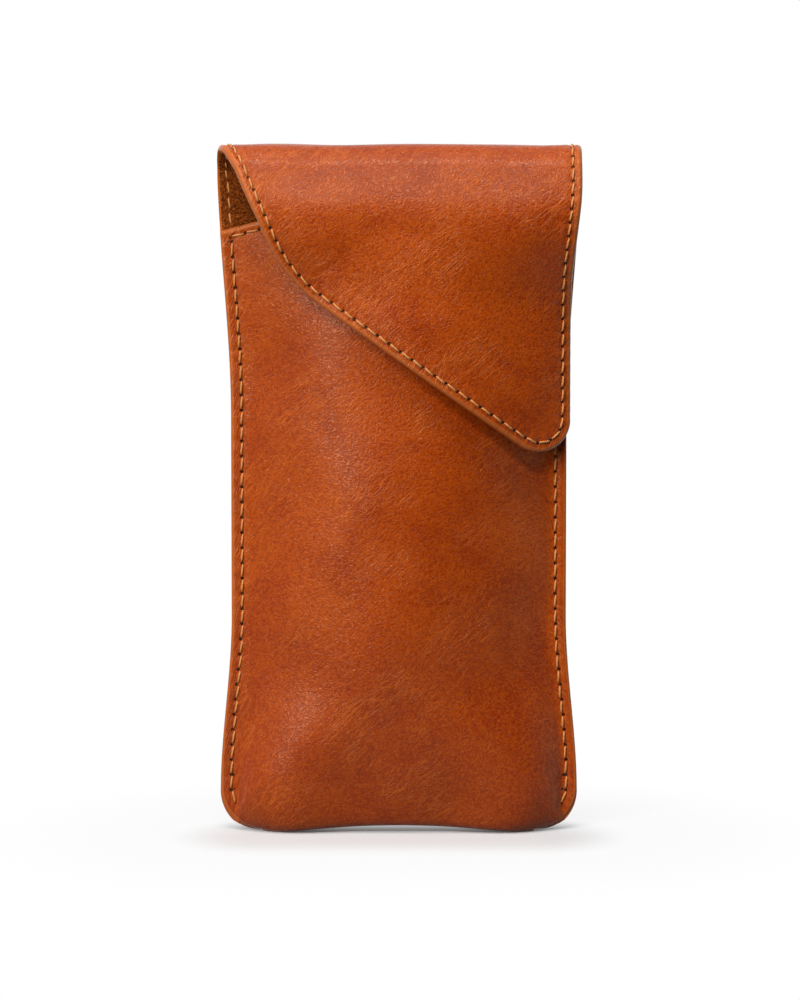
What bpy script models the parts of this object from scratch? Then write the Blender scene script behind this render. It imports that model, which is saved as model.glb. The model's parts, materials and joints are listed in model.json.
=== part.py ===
"""Soft leather sunglasses sleeve with a folded-over flap held shut by hidden magnets.

One strip of leather, with a suede lining glued behind it, is the front panel, turns under the
base, runs up the back, folds over the top and hangs down the front as a flap with a slanted
edge.  Both long sides are closed by a row of stitches.  The fold over the top is four hinge
lines across the strip, so it is cut into three narrow strips between the back and the flap.

Metres, +Z up.  The front faces -Y.  The sleeve is modelled upright about the plane y = 0 and
then leans back a little on its base, as it does when it stands.
"""

import math

import bmesh
import bpy
import numpy as np
from mathutils import Matrix, Vector

# Outline of the sleeve seen from the front.
HEIGHT = 0.165
FOOT_HALF_WIDTH = 0.0430
WAIST_HALF_WIDTH = 0.0402
HEAD_HALF_WIDTH = 0.0433
CORNER_RADIUS = 0.012
FOOT_TAPER_shares = (0.06, 0.32)
HEAD_TAPER_shares = (0.61, 1.00)

# Plies of the strip, and the air kept wherever two pieces touch.
LEATHER_THICK = 0.0012
LINING_THICK = 0.0006
TOUCH_GAP = 0.0003
SEAM_AIR = 0.00045

# Bulge of the pouch: how far its skin stands out from the flat seam flanges.
BASE_BULGE = 0.0095
BELLY_BULGE = 0.0141
CHEST_BULGE = 0.0125
MOUTH_BULGE = 0.0085
BELLY_RISE_shares = (0.07, 0.39)
CHEST_FALL_shares = (0.44, 0.76)
MOUTH_FALL_shares = (0.73, 0.91)
BACK_FLATTEN_shares = (0.84, 0.965)
BOXY_FOOT_shares = (0.06, 0.21)
FLANGE_WIDTH = 0.0037
LENS_INNER_POWER = 2.0
LENS_OUTER_POWER = 1.15
BOXY_INNER_POWER = 4.5
BOXY_OUTER_POWER = 0.9

# Base: the strip turns under it, arched in the middle and flat where it stands.
BASE_ROUND = 0.0068
BASE_ARCH = 0.0032
BASE_ARCH_END_share = 0.92
BASE_FLAT_CUT = 0.0005
BASE_SQUARENESS = 2.4
LEAN_BACK = math.radians(1.6)

# Mouth of the pouch: how far its ends lie below the top, and how far its middle rises again.
MOUTH_DROP = 0.0208
MOUTH_ARCH = 0.0070

# Fold over the top, and the flap below it.
FOLD_RADIUS = 0.0085
FOLD_STRIPS = ("fold_back", "fold_top", "fold_front")
FLAP_HALF_WIDTH = 0.0413
FLAP_LENGTH = 0.0748
FLAP_NECK_shares = (0.08, 0.35)
FLAP_NECK_RADIUS = 0.080
SHOULDER_RISE = 0.0109
SHOULDER_RADIUS = 0.034
ELBOW_shares = (-0.626, 0.36)
ELBOW_RADIUS = 0.034
TIP_RADIUS = 0.0068
FLAP_CLEARANCE = 0.0017
FLAP_DRAPE_shares = (0.715, 0.95)

# Stitching: one row near every edge.
THREAD_RADIUS = 0.00025
THREAD_HOLE_share = 0.5
STITCH_PITCH = 0.0036
SEAM_MARGIN = 0.0026
FLAP_MARGIN = 0.0022
HEM_MARGIN = 0.0021
SEAM_FOOT = 0.0062
HEM_END_MARGIN = 0.0075

# Magnet pair.
MAGNET_RADIUS = 0.004
MAGNET_THICK = 0.001
MAGNET_SPOT_shares = (0.42, 0.73)
POCKET_FLAT_RADIUS = 0.013
POCKET_FADE_RADIUS = 0.024
FLAP_LIFT_FADE_RADIUS = 0.030
FLAP_POCKET_FLAT_RADIUS = 0.0063
FLAP_POCKET_FADE_RADIUS = 0.009

# Facets: how finely each curved piece is cut.
COLUMN_shares = (0.0, 0.22, 0.43, 0.62, 0.77, 0.86, 0.93, 1.0)
BASE_TURN_shares = (0.0, 0.14, 0.27, 0.42, 0.56, 0.70, 0.84)
WALL_ROW_shares = (0.0, 0.012, 0.03, 0.05, 0.075, 0.12, 0.18, 0.25, 0.33, 0.42, 0.51, 0.60, 0.69,
                   0.78, 0.86, 0.93, 1.0)
STRIP_ROW_shares = (0.0, 0.5, 1.0)
FLAP_GRID = 0.0075
FLAP_GRID_CLEAR = 0.0025
ARC_STEP = math.radians(10)
MAGNET_SIDES = 32
SEAM_POINTS = 80
SLOPE_STEP_share = 0.0001
SMOOTH_ANGLE = math.radians(35)

# Worked out from the sizes above.
SHEET = LEATHER_THICK + TOUCH_GAP + LINING_THICK
SEAM_HALF = SHEET + SEAM_AIR / 2
MOUTH_HEIGHT = HEIGHT - MOUTH_DROP
FOLD_TURN = math.radians(180) / (len(FOLD_STRIPS) + 1)
FOLD_FACET = 2 * FOLD_RADIUS * math.tan(FOLD_TURN / 2)
FOLD_START = HEIGHT - FOLD_RADIUS + FOLD_FACET / 2
FLAP_DEPTH = 2 * FOLD_RADIUS - SEAM_HALF
INNER_REACH = SHEET + TOUCH_GAP + 2 * THREAD_RADIUS
MAGNET_SAG = MAGNET_RADIUS**2 / (2 * WAIST_HALF_WIDTH)
MAGNET_DEPTH = LEATHER_THICK + TOUCH_GAP + MAGNET_SAG
MAGNET_POCKET = MAGNET_DEPTH + MAGNET_THICK - LEATHER_THICK
MAGNET_X = MAGNET_SPOT_shares[0] * HEAD_HALF_WIDTH
MAGNET_Z = MAGNET_SPOT_shares[1] * HEIGHT

# Colours: base colour, roughness and metallic value.
LEATHER_LOOK = ((0.36, 0.075, 0.014), 0.42, 0.0)
LINING_LOOK = ((0.10, 0.035, 0.014), 0.95, 0.0)
THREAD_LOOK = ((0.62, 0.28, 0.11), 0.70, 0.0)
MAGNET_LOOK = ((0.60, 0.60, 0.62), 0.25, 1.0)


def clear_scene():
    """Remove every object of the open scene."""
    for thing in list(bpy.data.objects):
        bpy.data.objects.remove(thing, do_unlink=True)


def new_collection(name):
    """Add an empty collection to the scene."""
    group = bpy.data.collections.new(name)
    bpy.context.scene.collection.children.link(group)
    return group


def new_material(name, look):
    """One Principled material from a (colour, roughness, metallic) look."""
    colour, roughness, metallic = look
    material = bpy.data.materials.new(name)
    material.use_nodes = True
    shader = material.node_tree.nodes["Principled BSDF"]
    shader.inputs["Base Color"].default_value = (*colour, 1.0)
    shader.inputs["Roughness"].default_value = roughness
    shader.inputs["Metallic"].default_value = metallic
    material.diffuse_color = (*colour, 1.0)
    return material


def ease(value, low, high):
    """Smooth step from 0 at low to 1 at high: 3k^2 - 2k^3."""
    k = np.clip((value - low) / (high - low), 0, 1)
    return k * k * (3 - 2 * k)


def ease_height(z, shares):
    """Smooth step over a stretch of the height given as shares of it."""
    return ease(z, shares[0] * HEIGHT, shares[1] * HEIGHT)


def half_width(z, margin=0):
    """Half width at height z: a waist between a wider foot and head, with round corners.

    With a margin it is the half width of the same outline moved inwards by that much.
    """
    foot = (FOOT_HALF_WIDTH - WAIST_HALF_WIDTH) * (1 - ease_height(z, FOOT_TAPER_shares))
    head = (HEAD_HALF_WIDTH - WAIST_HALF_WIDTH) * ease_height(z, HEAD_TAPER_shares)
    reach = CORNER_RADIUS - margin
    below = np.clip(CORNER_RADIUS - z, 0, reach)
    corner = CORNER_RADIUS - np.sqrt(reach**2 - below**2)
    return WAIST_HALF_WIDTH + foot + head - corner


def bulge(z, back):
    """Bulge of the skin at height z; the back one dies out below the fold."""
    belly = (BELLY_BULGE - BASE_BULGE) * ease_height(z, BELLY_RISE_shares)
    chest = (BELLY_BULGE - CHEST_BULGE) * ease_height(z, CHEST_FALL_shares)
    mouth = (CHEST_BULGE - MOUTH_BULGE) * ease_height(z, MOUTH_FALL_shares)
    flat = np.where(back, ease_height(z, BACK_FLATTEN_shares), 0)
    return (BASE_BULGE + belly - chest - mouth) * (1 - flat)


def skin_depth(x, z, back):
    """Distance of the outer skin from the plane y = 0: flat flanges with a lens between."""
    across = np.clip(np.abs(x) / half_width(z, FLANGE_WIDTH), 0, 1)
    boxy = 1 - ease_height(z, BOXY_FOOT_shares)
    inner = LENS_INNER_POWER + (BOXY_INNER_POWER - LENS_INNER_POWER) * boxy
    outer = LENS_OUTER_POWER + (BOXY_OUTER_POWER - LENS_OUTER_POWER) * boxy
    return SEAM_HALF + bulge(z, back) * (1 - across**inner) ** outer


def mouth_height(x):
    """Height of the front panel's top edge, arched between the side seams."""
    share = np.clip(np.abs(x) / half_width(MOUTH_HEIGHT), 0, 1)
    return MOUTH_HEIGHT + MOUTH_ARCH * (1 - share**4)


def magnet_fade(x, z, flat_radius, fade_radius):
    """1 over the magnets' spot, falling smoothly to 0 round it."""
    away = np.hypot(x - MAGNET_X, z - MAGNET_Z)
    return 1 - ease(away, flat_radius, fade_radius)


def flap_depth(x, z):
    """Distance of the flap's outer skin from the plane y = 0.

    Low down it lies on the front panel with a clearance, and it leaves the panel for the
    flat front of the fold higher up.
    """
    lift = MAGNET_POCKET * magnet_fade(x, z, FLAP_POCKET_FADE_RADIUS, FLAP_LIFT_FADE_RADIUS)
    lying = skin_depth(x, z, False) + FLAP_CLEARANCE + SHEET + lift
    away = np.clip(FLAP_DEPTH - lying, 0, None)
    return lying + away * ease_height(z, FLAP_DRAPE_shares)


def fold_trim(depth):
    """How far a layer of the strip stops short of a hinge line, measured along the strip."""
    return depth * math.tan(FOLD_TURN / 2) + TOUCH_GAP / 2 / math.cos(FOLD_TURN / 2)


def body_skin(u, turn):
    """Outer skin of the pouch at share u of its half width and turn along the strip.

    turn is -2 at the mouth, -1 at the foot of the front, 0 under the base, 1 at the foot of
    the back and 2 at the fold.  Under the base each section across y is a superellipse,
    y = D sin^p, z = low + R (1 - cos^p), a half circle at the seams and squarer between.
    """
    edge = np.clip(np.abs(u), 0, 1)
    back = turn > 0
    radius = SEAM_HALF + BASE_ROUND * (1 - edge**BOXY_INNER_POWER) ** BOXY_OUTER_POWER
    low = BASE_ARCH * (1 - ease(edge, 0, BASE_ARCH_END_share)) - BASE_FLAT_CUT
    foot = low + radius
    seam_foot = SEAM_HALF - BASE_FLAT_CUT
    mouth = MOUTH_HEIGHT + MOUTH_ARCH * (1 - edge**4)
    top = np.where(back, FOLD_START, mouth)
    seam_top = np.where(back, FOLD_START, MOUTH_HEIGHT)
    climb = np.clip(np.abs(turn) - 1, 0, None)
    angle = np.clip(turn, -1, 1) * math.pi / 2
    power = 2 / (2 + BASE_SQUARENESS * (1 - edge**4))
    sine = np.abs(np.sin(angle)) ** power
    cosine = np.abs(np.cos(angle)) ** power
    z = foot - radius * cosine + climb * (top - foot)
    seam_z = seam_foot - SEAM_HALF * np.cos(angle) + climb * (seam_top - seam_foot)
    x = u * half_width(np.clip(seam_z, 0, None))
    foot_x = u * half_width(seam_foot)
    wall = climb > 0
    depth = skin_depth(np.where(wall, x, foot_x), np.maximum(z, foot), back)
    y = np.where(back, 1, -1) * depth * np.where(wall, 1, sine)
    return np.stack([x, y, z], axis=-1)


def unit(vectors):
    """Vectors scaled to length 1."""
    return vectors / np.linalg.norm(vectors, axis=-1, keepdims=True)


def body_layer(u, turn, depth):
    """Point at a depth below the pouch's outer skin, with the base cut flat to stand on."""
    step = SLOPE_STEP_share
    along = body_skin(u, turn + step) - body_skin(u, turn - step)
    across = body_skin(u + step, turn) - body_skin(u - step, turn)
    normal = unit(np.cross(along, across))
    points = body_skin(u, turn) - normal * depth[..., None]
    points[..., 2] = np.maximum(points[..., 2], points[..., 1] * math.tan(LEAN_BACK))
    return points


def panel_layer(depth_of, side, x, z, depth):
    """Point at a depth below a panel whose outer skin is y = side * depth_of(x, z)."""
    step = SLOPE_STEP_share * HEIGHT
    slope_x = (depth_of(x + step, z) - depth_of(x - step, z)) / (2 * step)
    slope_z = (depth_of(x, z + step) - depth_of(x, z - step)) / (2 * step)
    skin = np.stack([x, side * depth_of(x, z), z], axis=-1)
    normal = unit(np.stack([-slope_x, side * np.ones_like(x), -slope_z], axis=-1))
    return skin - normal * np.broadcast_to(depth, np.shape(x))[..., None]


def front_skin(x, z):
    """Depth of the front panel's skin."""
    return skin_depth(x, z, False)


def back_skin(x, z):
    """Depth of the back panel's skin."""
    return skin_depth(x, z, True)


def fold_point(x, drop, depth):
    """Point of the folded strip at a drop below the flap's hinge line, above it if negative.

    The hinge lines lie at whole facets above drop 0, on the corners of an octagon.
    """
    facet = np.clip(np.ceil(-drop / FOLD_FACET - SLOPE_STEP_share), 0, len(FOLD_STRIPS))
    y = -FLAP_DEPTH + np.zeros_like(drop)
    z = FOLD_START - np.clip(drop, 0, None)
    left = -np.clip(drop, None, 0)
    for number in range(1, len(FOLD_STRIPS) + 1):
        run = np.clip(left - (number - 1) * FOLD_FACET, 0, FOLD_FACET)
        y = y + run * math.sin(number * FOLD_TURN)
        z = z + run * math.cos(number * FOLD_TURN)
    tilt = facet * FOLD_TURN
    outward = np.stack([np.zeros_like(tilt), -np.cos(tilt), np.sin(tilt)], axis=-1)
    return np.stack([x, y, z], axis=-1) - outward * np.broadcast_to(depth, np.shape(x))[..., None]


def hinge_line(number):
    """Local (y, z) of a hinge line, 0 at the back panel and 3 at the flap."""
    drop = np.array([(number - len(FOLD_STRIPS)) * FOLD_FACET])
    place = fold_point(np.zeros(1), drop, 0)[0]
    return Vector((0, place[1], place[2]))


def rounded_path(corners):
    """Path through (x, y, radius) corners, each rounded by an arc of its radius."""
    points = [corners[0][:2]]
    for before, corner, after in zip(corners, corners[1:], corners[2:]):
        here = Vector(corner[:2])
        way_in = (here - Vector(before[:2])).normalized()
        way_out = (Vector(after[:2]) - here).normalized()
        turn = way_in.angle_signed(way_out) * -1
        radius = corner[2]
        start = here - way_in * radius * math.tan(abs(turn) / 2)
        side = Vector((-way_in.y, way_in.x)) * math.copysign(1, turn)
        centre = start + side * radius
        count = max(1, round(abs(turn) / ARC_STEP))
        for index in range(count + 1):
            swung = Matrix.Rotation(turn * index / count, 2) @ (start - centre)
            points.append(tuple(centre + swung))
    points.append(corners[-1][:2])
    return np.array(points)


def flap_outline():
    """Edge of the fold and flap in (x, drop), from the back hinge down and up again."""
    top = -len(FOLD_STRIPS) * FOLD_FACET
    elbow_x, elbow_drop = ELBOW_shares
    neck_top, neck_low = FLAP_NECK_shares
    return rounded_path([
        (-HEAD_HALF_WIDTH, top, 0),
        (-HEAD_HALF_WIDTH, -SHOULDER_RISE, SHOULDER_RADIUS),
        (elbow_x * HEAD_HALF_WIDTH, elbow_drop * FLAP_LENGTH, ELBOW_RADIUS),
        (FLAP_HALF_WIDTH, FLAP_LENGTH, TIP_RADIUS),
        (FLAP_HALF_WIDTH, neck_low * FLAP_LENGTH, FLAP_NECK_RADIUS),
        (HEAD_HALF_WIDTH, neck_top * FLAP_LENGTH, FLAP_NECK_RADIUS),
        (HEAD_HALF_WIDTH, top, 0),
    ])


def inset(path, margin):
    """Path moved sideways by a margin, to the inner side of the flap's edge."""
    way = unit(np.gradient(path, axis=0))
    return path + margin * np.stack([way[:, 1], -way[:, 0]], axis=-1)


def edge_at(path, drop, right):
    """x of the left or right edge of a path in (x, drop) at a drop above the tip."""
    lowest = int(np.argmax(path[:, 1]))
    side = path[lowest:][::-1] if right else path[:lowest + 1]
    return np.interp(drop, side[:, 1], side[:, 0])


def measured(path, count_unit):
    """Path resampled at twice as many equal steps as count_unit fits into its length."""
    length = np.concatenate([[0], np.cumsum(np.linalg.norm(np.diff(path, axis=0), axis=1))])
    stitches = max(1, round(length[-1] / count_unit))
    marks = np.linspace(0, length[-1], 2 * stitches + 1)
    return np.stack([np.interp(marks, length, path[:, axis]) for axis in range(2)], axis=-1)


def add_object(name, mesh, material, parent, group):
    """Link a mesh as a named object below its body's empty."""
    thing = bpy.data.objects.new(name, mesh)
    thing.data.materials.append(material)
    thing.parent = parent
    thing.matrix_parent_inverse = Matrix.Translation(-Vector(parent["place"]))
    group.objects.link(thing)
    return thing


def sheet_solid(name, bm, place):
    """Extrude a flat sheet into two layers and put each vertex where place says.

    place(a, b, layer) takes the sheet's own coordinates, with layer 0 outside and 1 inside.
    The sheet is cut into triangles first, so that all layers of both plies share their cuts.
    """
    bmesh.ops.triangulate(bm, faces=bm.faces)
    grown = bmesh.ops.extrude_face_region(bm, geom=bm.faces[:])["geom"]
    for item in grown:
        if isinstance(item, bmesh.types.BMVert):
            item.co.z = 1
    flat = np.array([vert.co for vert in bm.verts], dtype=float)
    placed = place(flat[:, 0], flat[:, 1], flat[:, 2])
    for vert, point in zip(bm.verts, placed):
        vert.co = point
    bmesh.ops.recalc_face_normals(bm, faces=bm.faces)
    if bm.calc_volume(signed=True) < 0:
        bmesh.ops.reverse_faces(bm, faces=bm.faces)
    mesh = bpy.data.meshes.new(name)
    bm.to_mesh(mesh)
    bm.free()
    mesh.shade_smooth()
    mesh.set_sharp_from_angle(angle=SMOOTH_ANGLE)
    return mesh


def grid_sheet(columns, rows):
    """Flat grid whose lines lie at the given column and row values."""
    bm = bmesh.new()
    bmesh.ops.create_grid(bm, x_segments=len(columns) - 1, y_segments=len(rows) - 1, size=1)
    for vert in bm.verts:
        column = round((vert.co.x + 1) / 2 * (len(columns) - 1))
        row = round((vert.co.y + 1) / 2 * (len(rows) - 1))
        vert.co = (columns[column], rows[row], 0)
    return bm


def outline_sheet(outline, cuts_x, cuts_y):
    """Flat sheet inside an outline, cut along lines of constant x and y."""
    bm = bmesh.new()
    bm.faces.new([bm.verts.new((x, y, 0)) for x, y in outline])
    for cuts, normal in ((cuts_x, (1, 0, 0)), (cuts_y, (0, 1, 0))):
        for cut in cuts:
            whole = bm.verts[:] + bm.edges[:] + bm.faces[:]
            bmesh.ops.bisect_plane(bm, geom=whole, plane_co=Vector(normal) * cut,
                                   plane_no=normal, dist=TOUCH_GAP / 2)
    return bm


def ply_depths(lining):
    """Depths of a ply's outer and inner face below the leather's skin."""
    if lining:
        return LEATHER_THICK + TOUCH_GAP, SHEET
    return 0.0, LEATHER_THICK


def body_rows():
    """Row places along the strip for the pouch, closer together near the base."""
    base = np.array(BASE_TURN_shares)
    walls = np.array(WALL_ROW_shares) + 1
    half = np.concatenate([base, walls])
    return np.concatenate([-half[::-1], half[1:]])


def body_ply(name, lining):
    """Front panel, base and back panel of one ply, as one bent sheet."""
    outer, inner = ply_depths(lining)
    columns = np.array(COLUMN_shares)
    columns = np.concatenate([-columns[::-1], columns[1:]])

    def place(u, turn, layer):
        depth = outer + (inner - outer) * layer
        skin = body_skin(u, turn)
        if lining:
            spot = magnet_fade(skin[:, 0], skin[:, 2], POCKET_FLAT_RADIUS, POCKET_FADE_RADIUS)
            depth = depth + MAGNET_POCKET * spot * (turn < 0)
        points = body_layer(u, turn, depth)
        top = np.where(turn > 1, FOLD_START - fold_trim(depth), HEIGHT)
        points[:, 2] = np.minimum(points[:, 2], top)
        return points

    return sheet_solid(name, grid_sheet(columns, body_rows()), place)


def strip_ply(name, number, lining):
    """One narrow strip of the fold; number counts hinge lines up from the flap."""
    outer, inner = ply_depths(lining)
    outline = flap_outline()
    low = -number * FOLD_FACET

    def place(side, run, layer):
        depth = outer + (inner - outer) * layer
        trim = fold_trim(depth)
        drop = low + trim + run * (FOLD_FACET - 2 * trim)
        left = edge_at(outline, drop, False)
        right = edge_at(outline, drop, True)
        return fold_point(left + side * (right - left), drop, depth)

    return sheet_solid(name, grid_sheet([0, 1], STRIP_ROW_shares), place)


def grid_cuts(low, high, magnet):
    """Places to cut the flap's sheet: an even grid, but set by the magnet's pocket near it."""
    count = math.ceil((high - low) / FLAP_GRID)
    even = np.linspace(low, high, count + 1)[1:-1]
    clear = even[np.abs(even - magnet) > FLAP_POCKET_FADE_RADIUS + FLAP_GRID_CLEAR]
    pocket = (MAGNET_RADIUS + TOUCH_GAP, FLAP_POCKET_FADE_RADIUS)
    return np.concatenate([clear, *(magnet + side * np.array(pocket) for side in (-1, 1))])


def flap_ply(name, lining):
    """Flap of one ply, draped over the front panel."""
    outer, inner = ply_depths(lining)
    outline = flap_outline()
    hinge_left = (edge_at(outline, 0, False), 0)
    hinge_right = (edge_at(outline, 0, True), 0)
    below = outline[outline[:, 1] > 0]
    crease = WAIST_HALF_WIDTH - FLANGE_WIDTH
    seam = FLAP_HALF_WIDTH - FLAP_MARGIN - 2 * THREAD_RADIUS
    cuts_x = np.append(grid_cuts(-crease, crease, MAGNET_X), (-seam, -crease, crease, seam))
    cuts_y = grid_cuts(0, FLAP_LENGTH, FOLD_START - MAGNET_Z)

    def place(x, drop, layer):
        depth = outer + (inner - outer) * layer
        z = FOLD_START - drop
        if lining:
            depth = depth + MAGNET_POCKET * magnet_fade(
                x, z, FLAP_POCKET_FLAT_RADIUS, FLAP_POCKET_FADE_RADIUS)
        z = np.minimum(z, FOLD_START - fold_trim(depth))
        return panel_layer(flap_depth, -1, x, z, depth)

    return sheet_solid(name, outline_sheet([hinge_left, *below, hinge_right], cuts_x, cuts_y), place)


def thread(name, path, place, inner, material, parent, group):
    """One sewn row: a tube along a path of the sheet, thin at each hole and full between.

    place(a, b, depth) is the sheet.  The row lies on its outer face, or on its inner one.
    """
    marks = measured(path, STITCH_PITCH)
    swell = np.where(np.arange(len(marks)) % 2 == 0, THREAD_HOLE_share, 1)
    lift = TOUCH_GAP + THREAD_RADIUS * swell
    depth = SHEET + lift if inner else -lift
    points = place(marks[:, 0], marks[:, 1], depth)
    curve = bpy.data.curves.new(name, "CURVE")
    curve.dimensions = "3D"
    curve.bevel_depth = THREAD_RADIUS
    curve.bevel_resolution = 0
    curve.use_fill_caps = True
    spline = curve.splines.new("POLY")
    spline.points.add(len(points) - 1)
    for spot, point, size in zip(spline.points, points, swell):
        spot.co = (*point, 1)
        spot.radius = size
    return add_object(name, curve, material, parent, group)


def seam_path(right, top):
    """Side seam in (x, z) at its margin from the edge, from the corner round to a height."""
    z = np.linspace(SEAM_FOOT, top, SEAM_POINTS)
    x = half_width(z, SEAM_MARGIN) * (1 if right else -1)
    return np.stack([x, z], axis=-1)


def magnet(name, depth_of, material, parent, group):
    """Thin disc lying in the panel's sheet, between its leather and its lining."""
    spot = np.array([MAGNET_X]), np.array([MAGNET_Z])
    near = panel_layer(depth_of, -1, *spot, MAGNET_DEPTH)[0]
    far = panel_layer(depth_of, -1, *spot, MAGNET_DEPTH + MAGNET_THICK)[0]
    bm = bmesh.new()
    bmesh.ops.create_cone(bm, cap_ends=True, segments=MAGNET_SIDES, radius1=MAGNET_RADIUS,
                          radius2=MAGNET_RADIUS, depth=MAGNET_THICK)
    mesh = bpy.data.meshes.new(name)
    bm.to_mesh(mesh)
    bm.free()
    disc = add_object(name, mesh, material, parent, group)
    disc.location = (near + far) / 2
    disc.rotation_euler = Vector(far - near).to_track_quat("Z", "Y").to_euler()
    return disc


def body_empty(name, parent, place, group):
    """Empty at a body's hinge line, which carries the body's pieces."""
    holder = bpy.data.objects.new(name, None)
    holder["place"] = place
    holder.location = place
    if parent is not None:
        holder.parent = parent
        holder.location = Vector(place) - Vector(parent["place"])
    group.objects.link(holder)
    return holder


def edge_run(path, start, end, right):
    """Stretch of an inset path in (x, drop) beside a strip, from one drop to another."""
    drops = np.array([start, (start + end) / 2, end])
    return np.stack([edge_at(path, drops, right), drops], axis=-1)


def add_sleeve(parent, materials, group):
    """The pouch: both plies, its seams and hem, and the lower magnet."""
    leather, lining, sewing, steel = materials
    add_object("body_leather", body_ply("body_leather", False), leather, parent, group)
    add_object("body_lining", body_ply("body_lining", True), lining, parent, group)
    magnet("front_magnet", front_skin, steel, parent, group)

    def front(x, z, depth):
        return panel_layer(front_skin, -1, x, z, depth)

    def back(x, z, depth):
        return panel_layer(back_skin, 1, x, z, depth)

    hem = MOUTH_HEIGHT - HEM_MARGIN
    inner_top = FOLD_START - fold_trim(INNER_REACH)
    for right in (False, True):
        side = "right" if right else "left"
        front_row = seam_path(right, hem)
        back_row = seam_path(right, FOLD_START - fold_trim(0))
        upper_row = seam_path(right, inner_top)
        upper_row = upper_row[upper_row[:, 1] > MOUTH_HEIGHT + HEM_MARGIN]
        thread(f"side_thread_front_{side}", front_row, front, False, sewing, parent, group)
        thread(f"side_thread_back_{side}", back_row, back, False, sewing, parent, group)
        thread(f"upper_thread_inner_{side}", upper_row, back, True, sewing, parent, group)
    hem_end = half_width(MOUTH_HEIGHT) - HEM_END_MARGIN
    hem_x = np.linspace(-hem_end, hem_end, SEAM_POINTS)
    hem_row = np.stack([hem_x, mouth_height(hem_x) - HEM_MARGIN], axis=-1)
    thread("mouth_thread_outer", hem_row, front, False, sewing, parent, group)
    thread("mouth_thread_inner", hem_row, front, True, sewing, parent, group)


def add_strip(name, number, parent, materials, group):
    """One strip of the fold, with the stitches of both its faces at both its ends."""
    leather, lining, sewing, _ = materials
    add_object(f"{name}_leather", strip_ply(f"{name}_leather", number, False), leather, parent, group)
    add_object(f"{name}_lining", strip_ply(f"{name}_lining", number, True), lining, parent, group)
    row = inset(flap_outline(), FLAP_MARGIN)
    low = -number * FOLD_FACET
    for face, reach in (("outer", 0), ("inner", INNER_REACH)):
        trim = fold_trim(reach)
        for side in ("left", "right"):
            run = edge_run(row, low + trim, low + FOLD_FACET - trim, side == "right")
            thread(f"{name}_thread_{face}_{side}", run, fold_point, face == "inner", sewing,
                   parent, group)


def add_flap(parent, materials, group):
    """The flap: both plies, the row of stitches round it and the upper magnet."""
    leather, lining, sewing, steel = materials
    add_object("flap_leather", flap_ply("flap_leather", False), leather, parent, group)
    add_object("flap_lining", flap_ply("flap_lining", True), lining, parent, group)
    magnet("flap_magnet", flap_depth, steel, parent, group)
    row = inset(flap_outline(), FLAP_MARGIN)

    def flap(x, drop, depth):
        return panel_layer(flap_depth, -1, x, FOLD_START - drop, depth)

    for face, reach in (("outer", 0), ("inner", INNER_REACH)):
        top = fold_trim(reach)
        start = [edge_at(row, top, False), top]
        end = [edge_at(row, top, True), top]
        path = np.array([start, *row[row[:, 1] > top], end])
        thread(f"flap_thread_{face}", path, flap, face == "inner", sewing, parent, group)


def centre_on_base(root, group):
    """Move the root so that the model's bounding box is centred on the origin in y."""
    bpy.context.view_layer.update()
    graph = bpy.context.evaluated_depsgraph_get()
    depths = []
    for thing in group.objects:
        if thing.type != "EMPTY":
            shown = thing.evaluated_get(graph)
            mesh = shown.to_mesh()
            depths += [(shown.matrix_world @ vert.co).y for vert in mesh.vertices]
            shown.to_mesh_clear()
    root.location.y -= (min(depths) + max(depths)) / 2


def build():
    """Make every piece of the sleeve."""
    clear_scene()
    group = new_collection("sunglasses_sleeve")
    materials = (new_material("leather", LEATHER_LOOK), new_material("suede_lining", LINING_LOOK),
                 new_material("thread", THREAD_LOOK), new_material("magnet", MAGNET_LOOK))
    root = body_empty("sleeve", None, Vector((0, 0, 0)), group)
    add_sleeve(root, materials, group)
    parent = root
    for hinge, name in enumerate(FOLD_STRIPS):
        parent = body_empty(name, parent, hinge_line(hinge), group)
        add_strip(name, len(FOLD_STRIPS) - hinge, parent, materials, group)
    flap = body_empty("flap", parent, hinge_line(len(FOLD_STRIPS)), group)
    add_flap(flap, materials, group)
    root.rotation_euler.x = -LEAN_BACK
    centre_on_base(root, group)


build()
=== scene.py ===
"""Dresses the sunglasses sleeve: leather, suede, stitches, and the light it stands in.

The sleeve is one strip of leather.  It is worked out here in an upright frame with its seams
in the plane y = 0, and stand() leans it back onto its base, where the solids are.
"""

import json
import math

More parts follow.
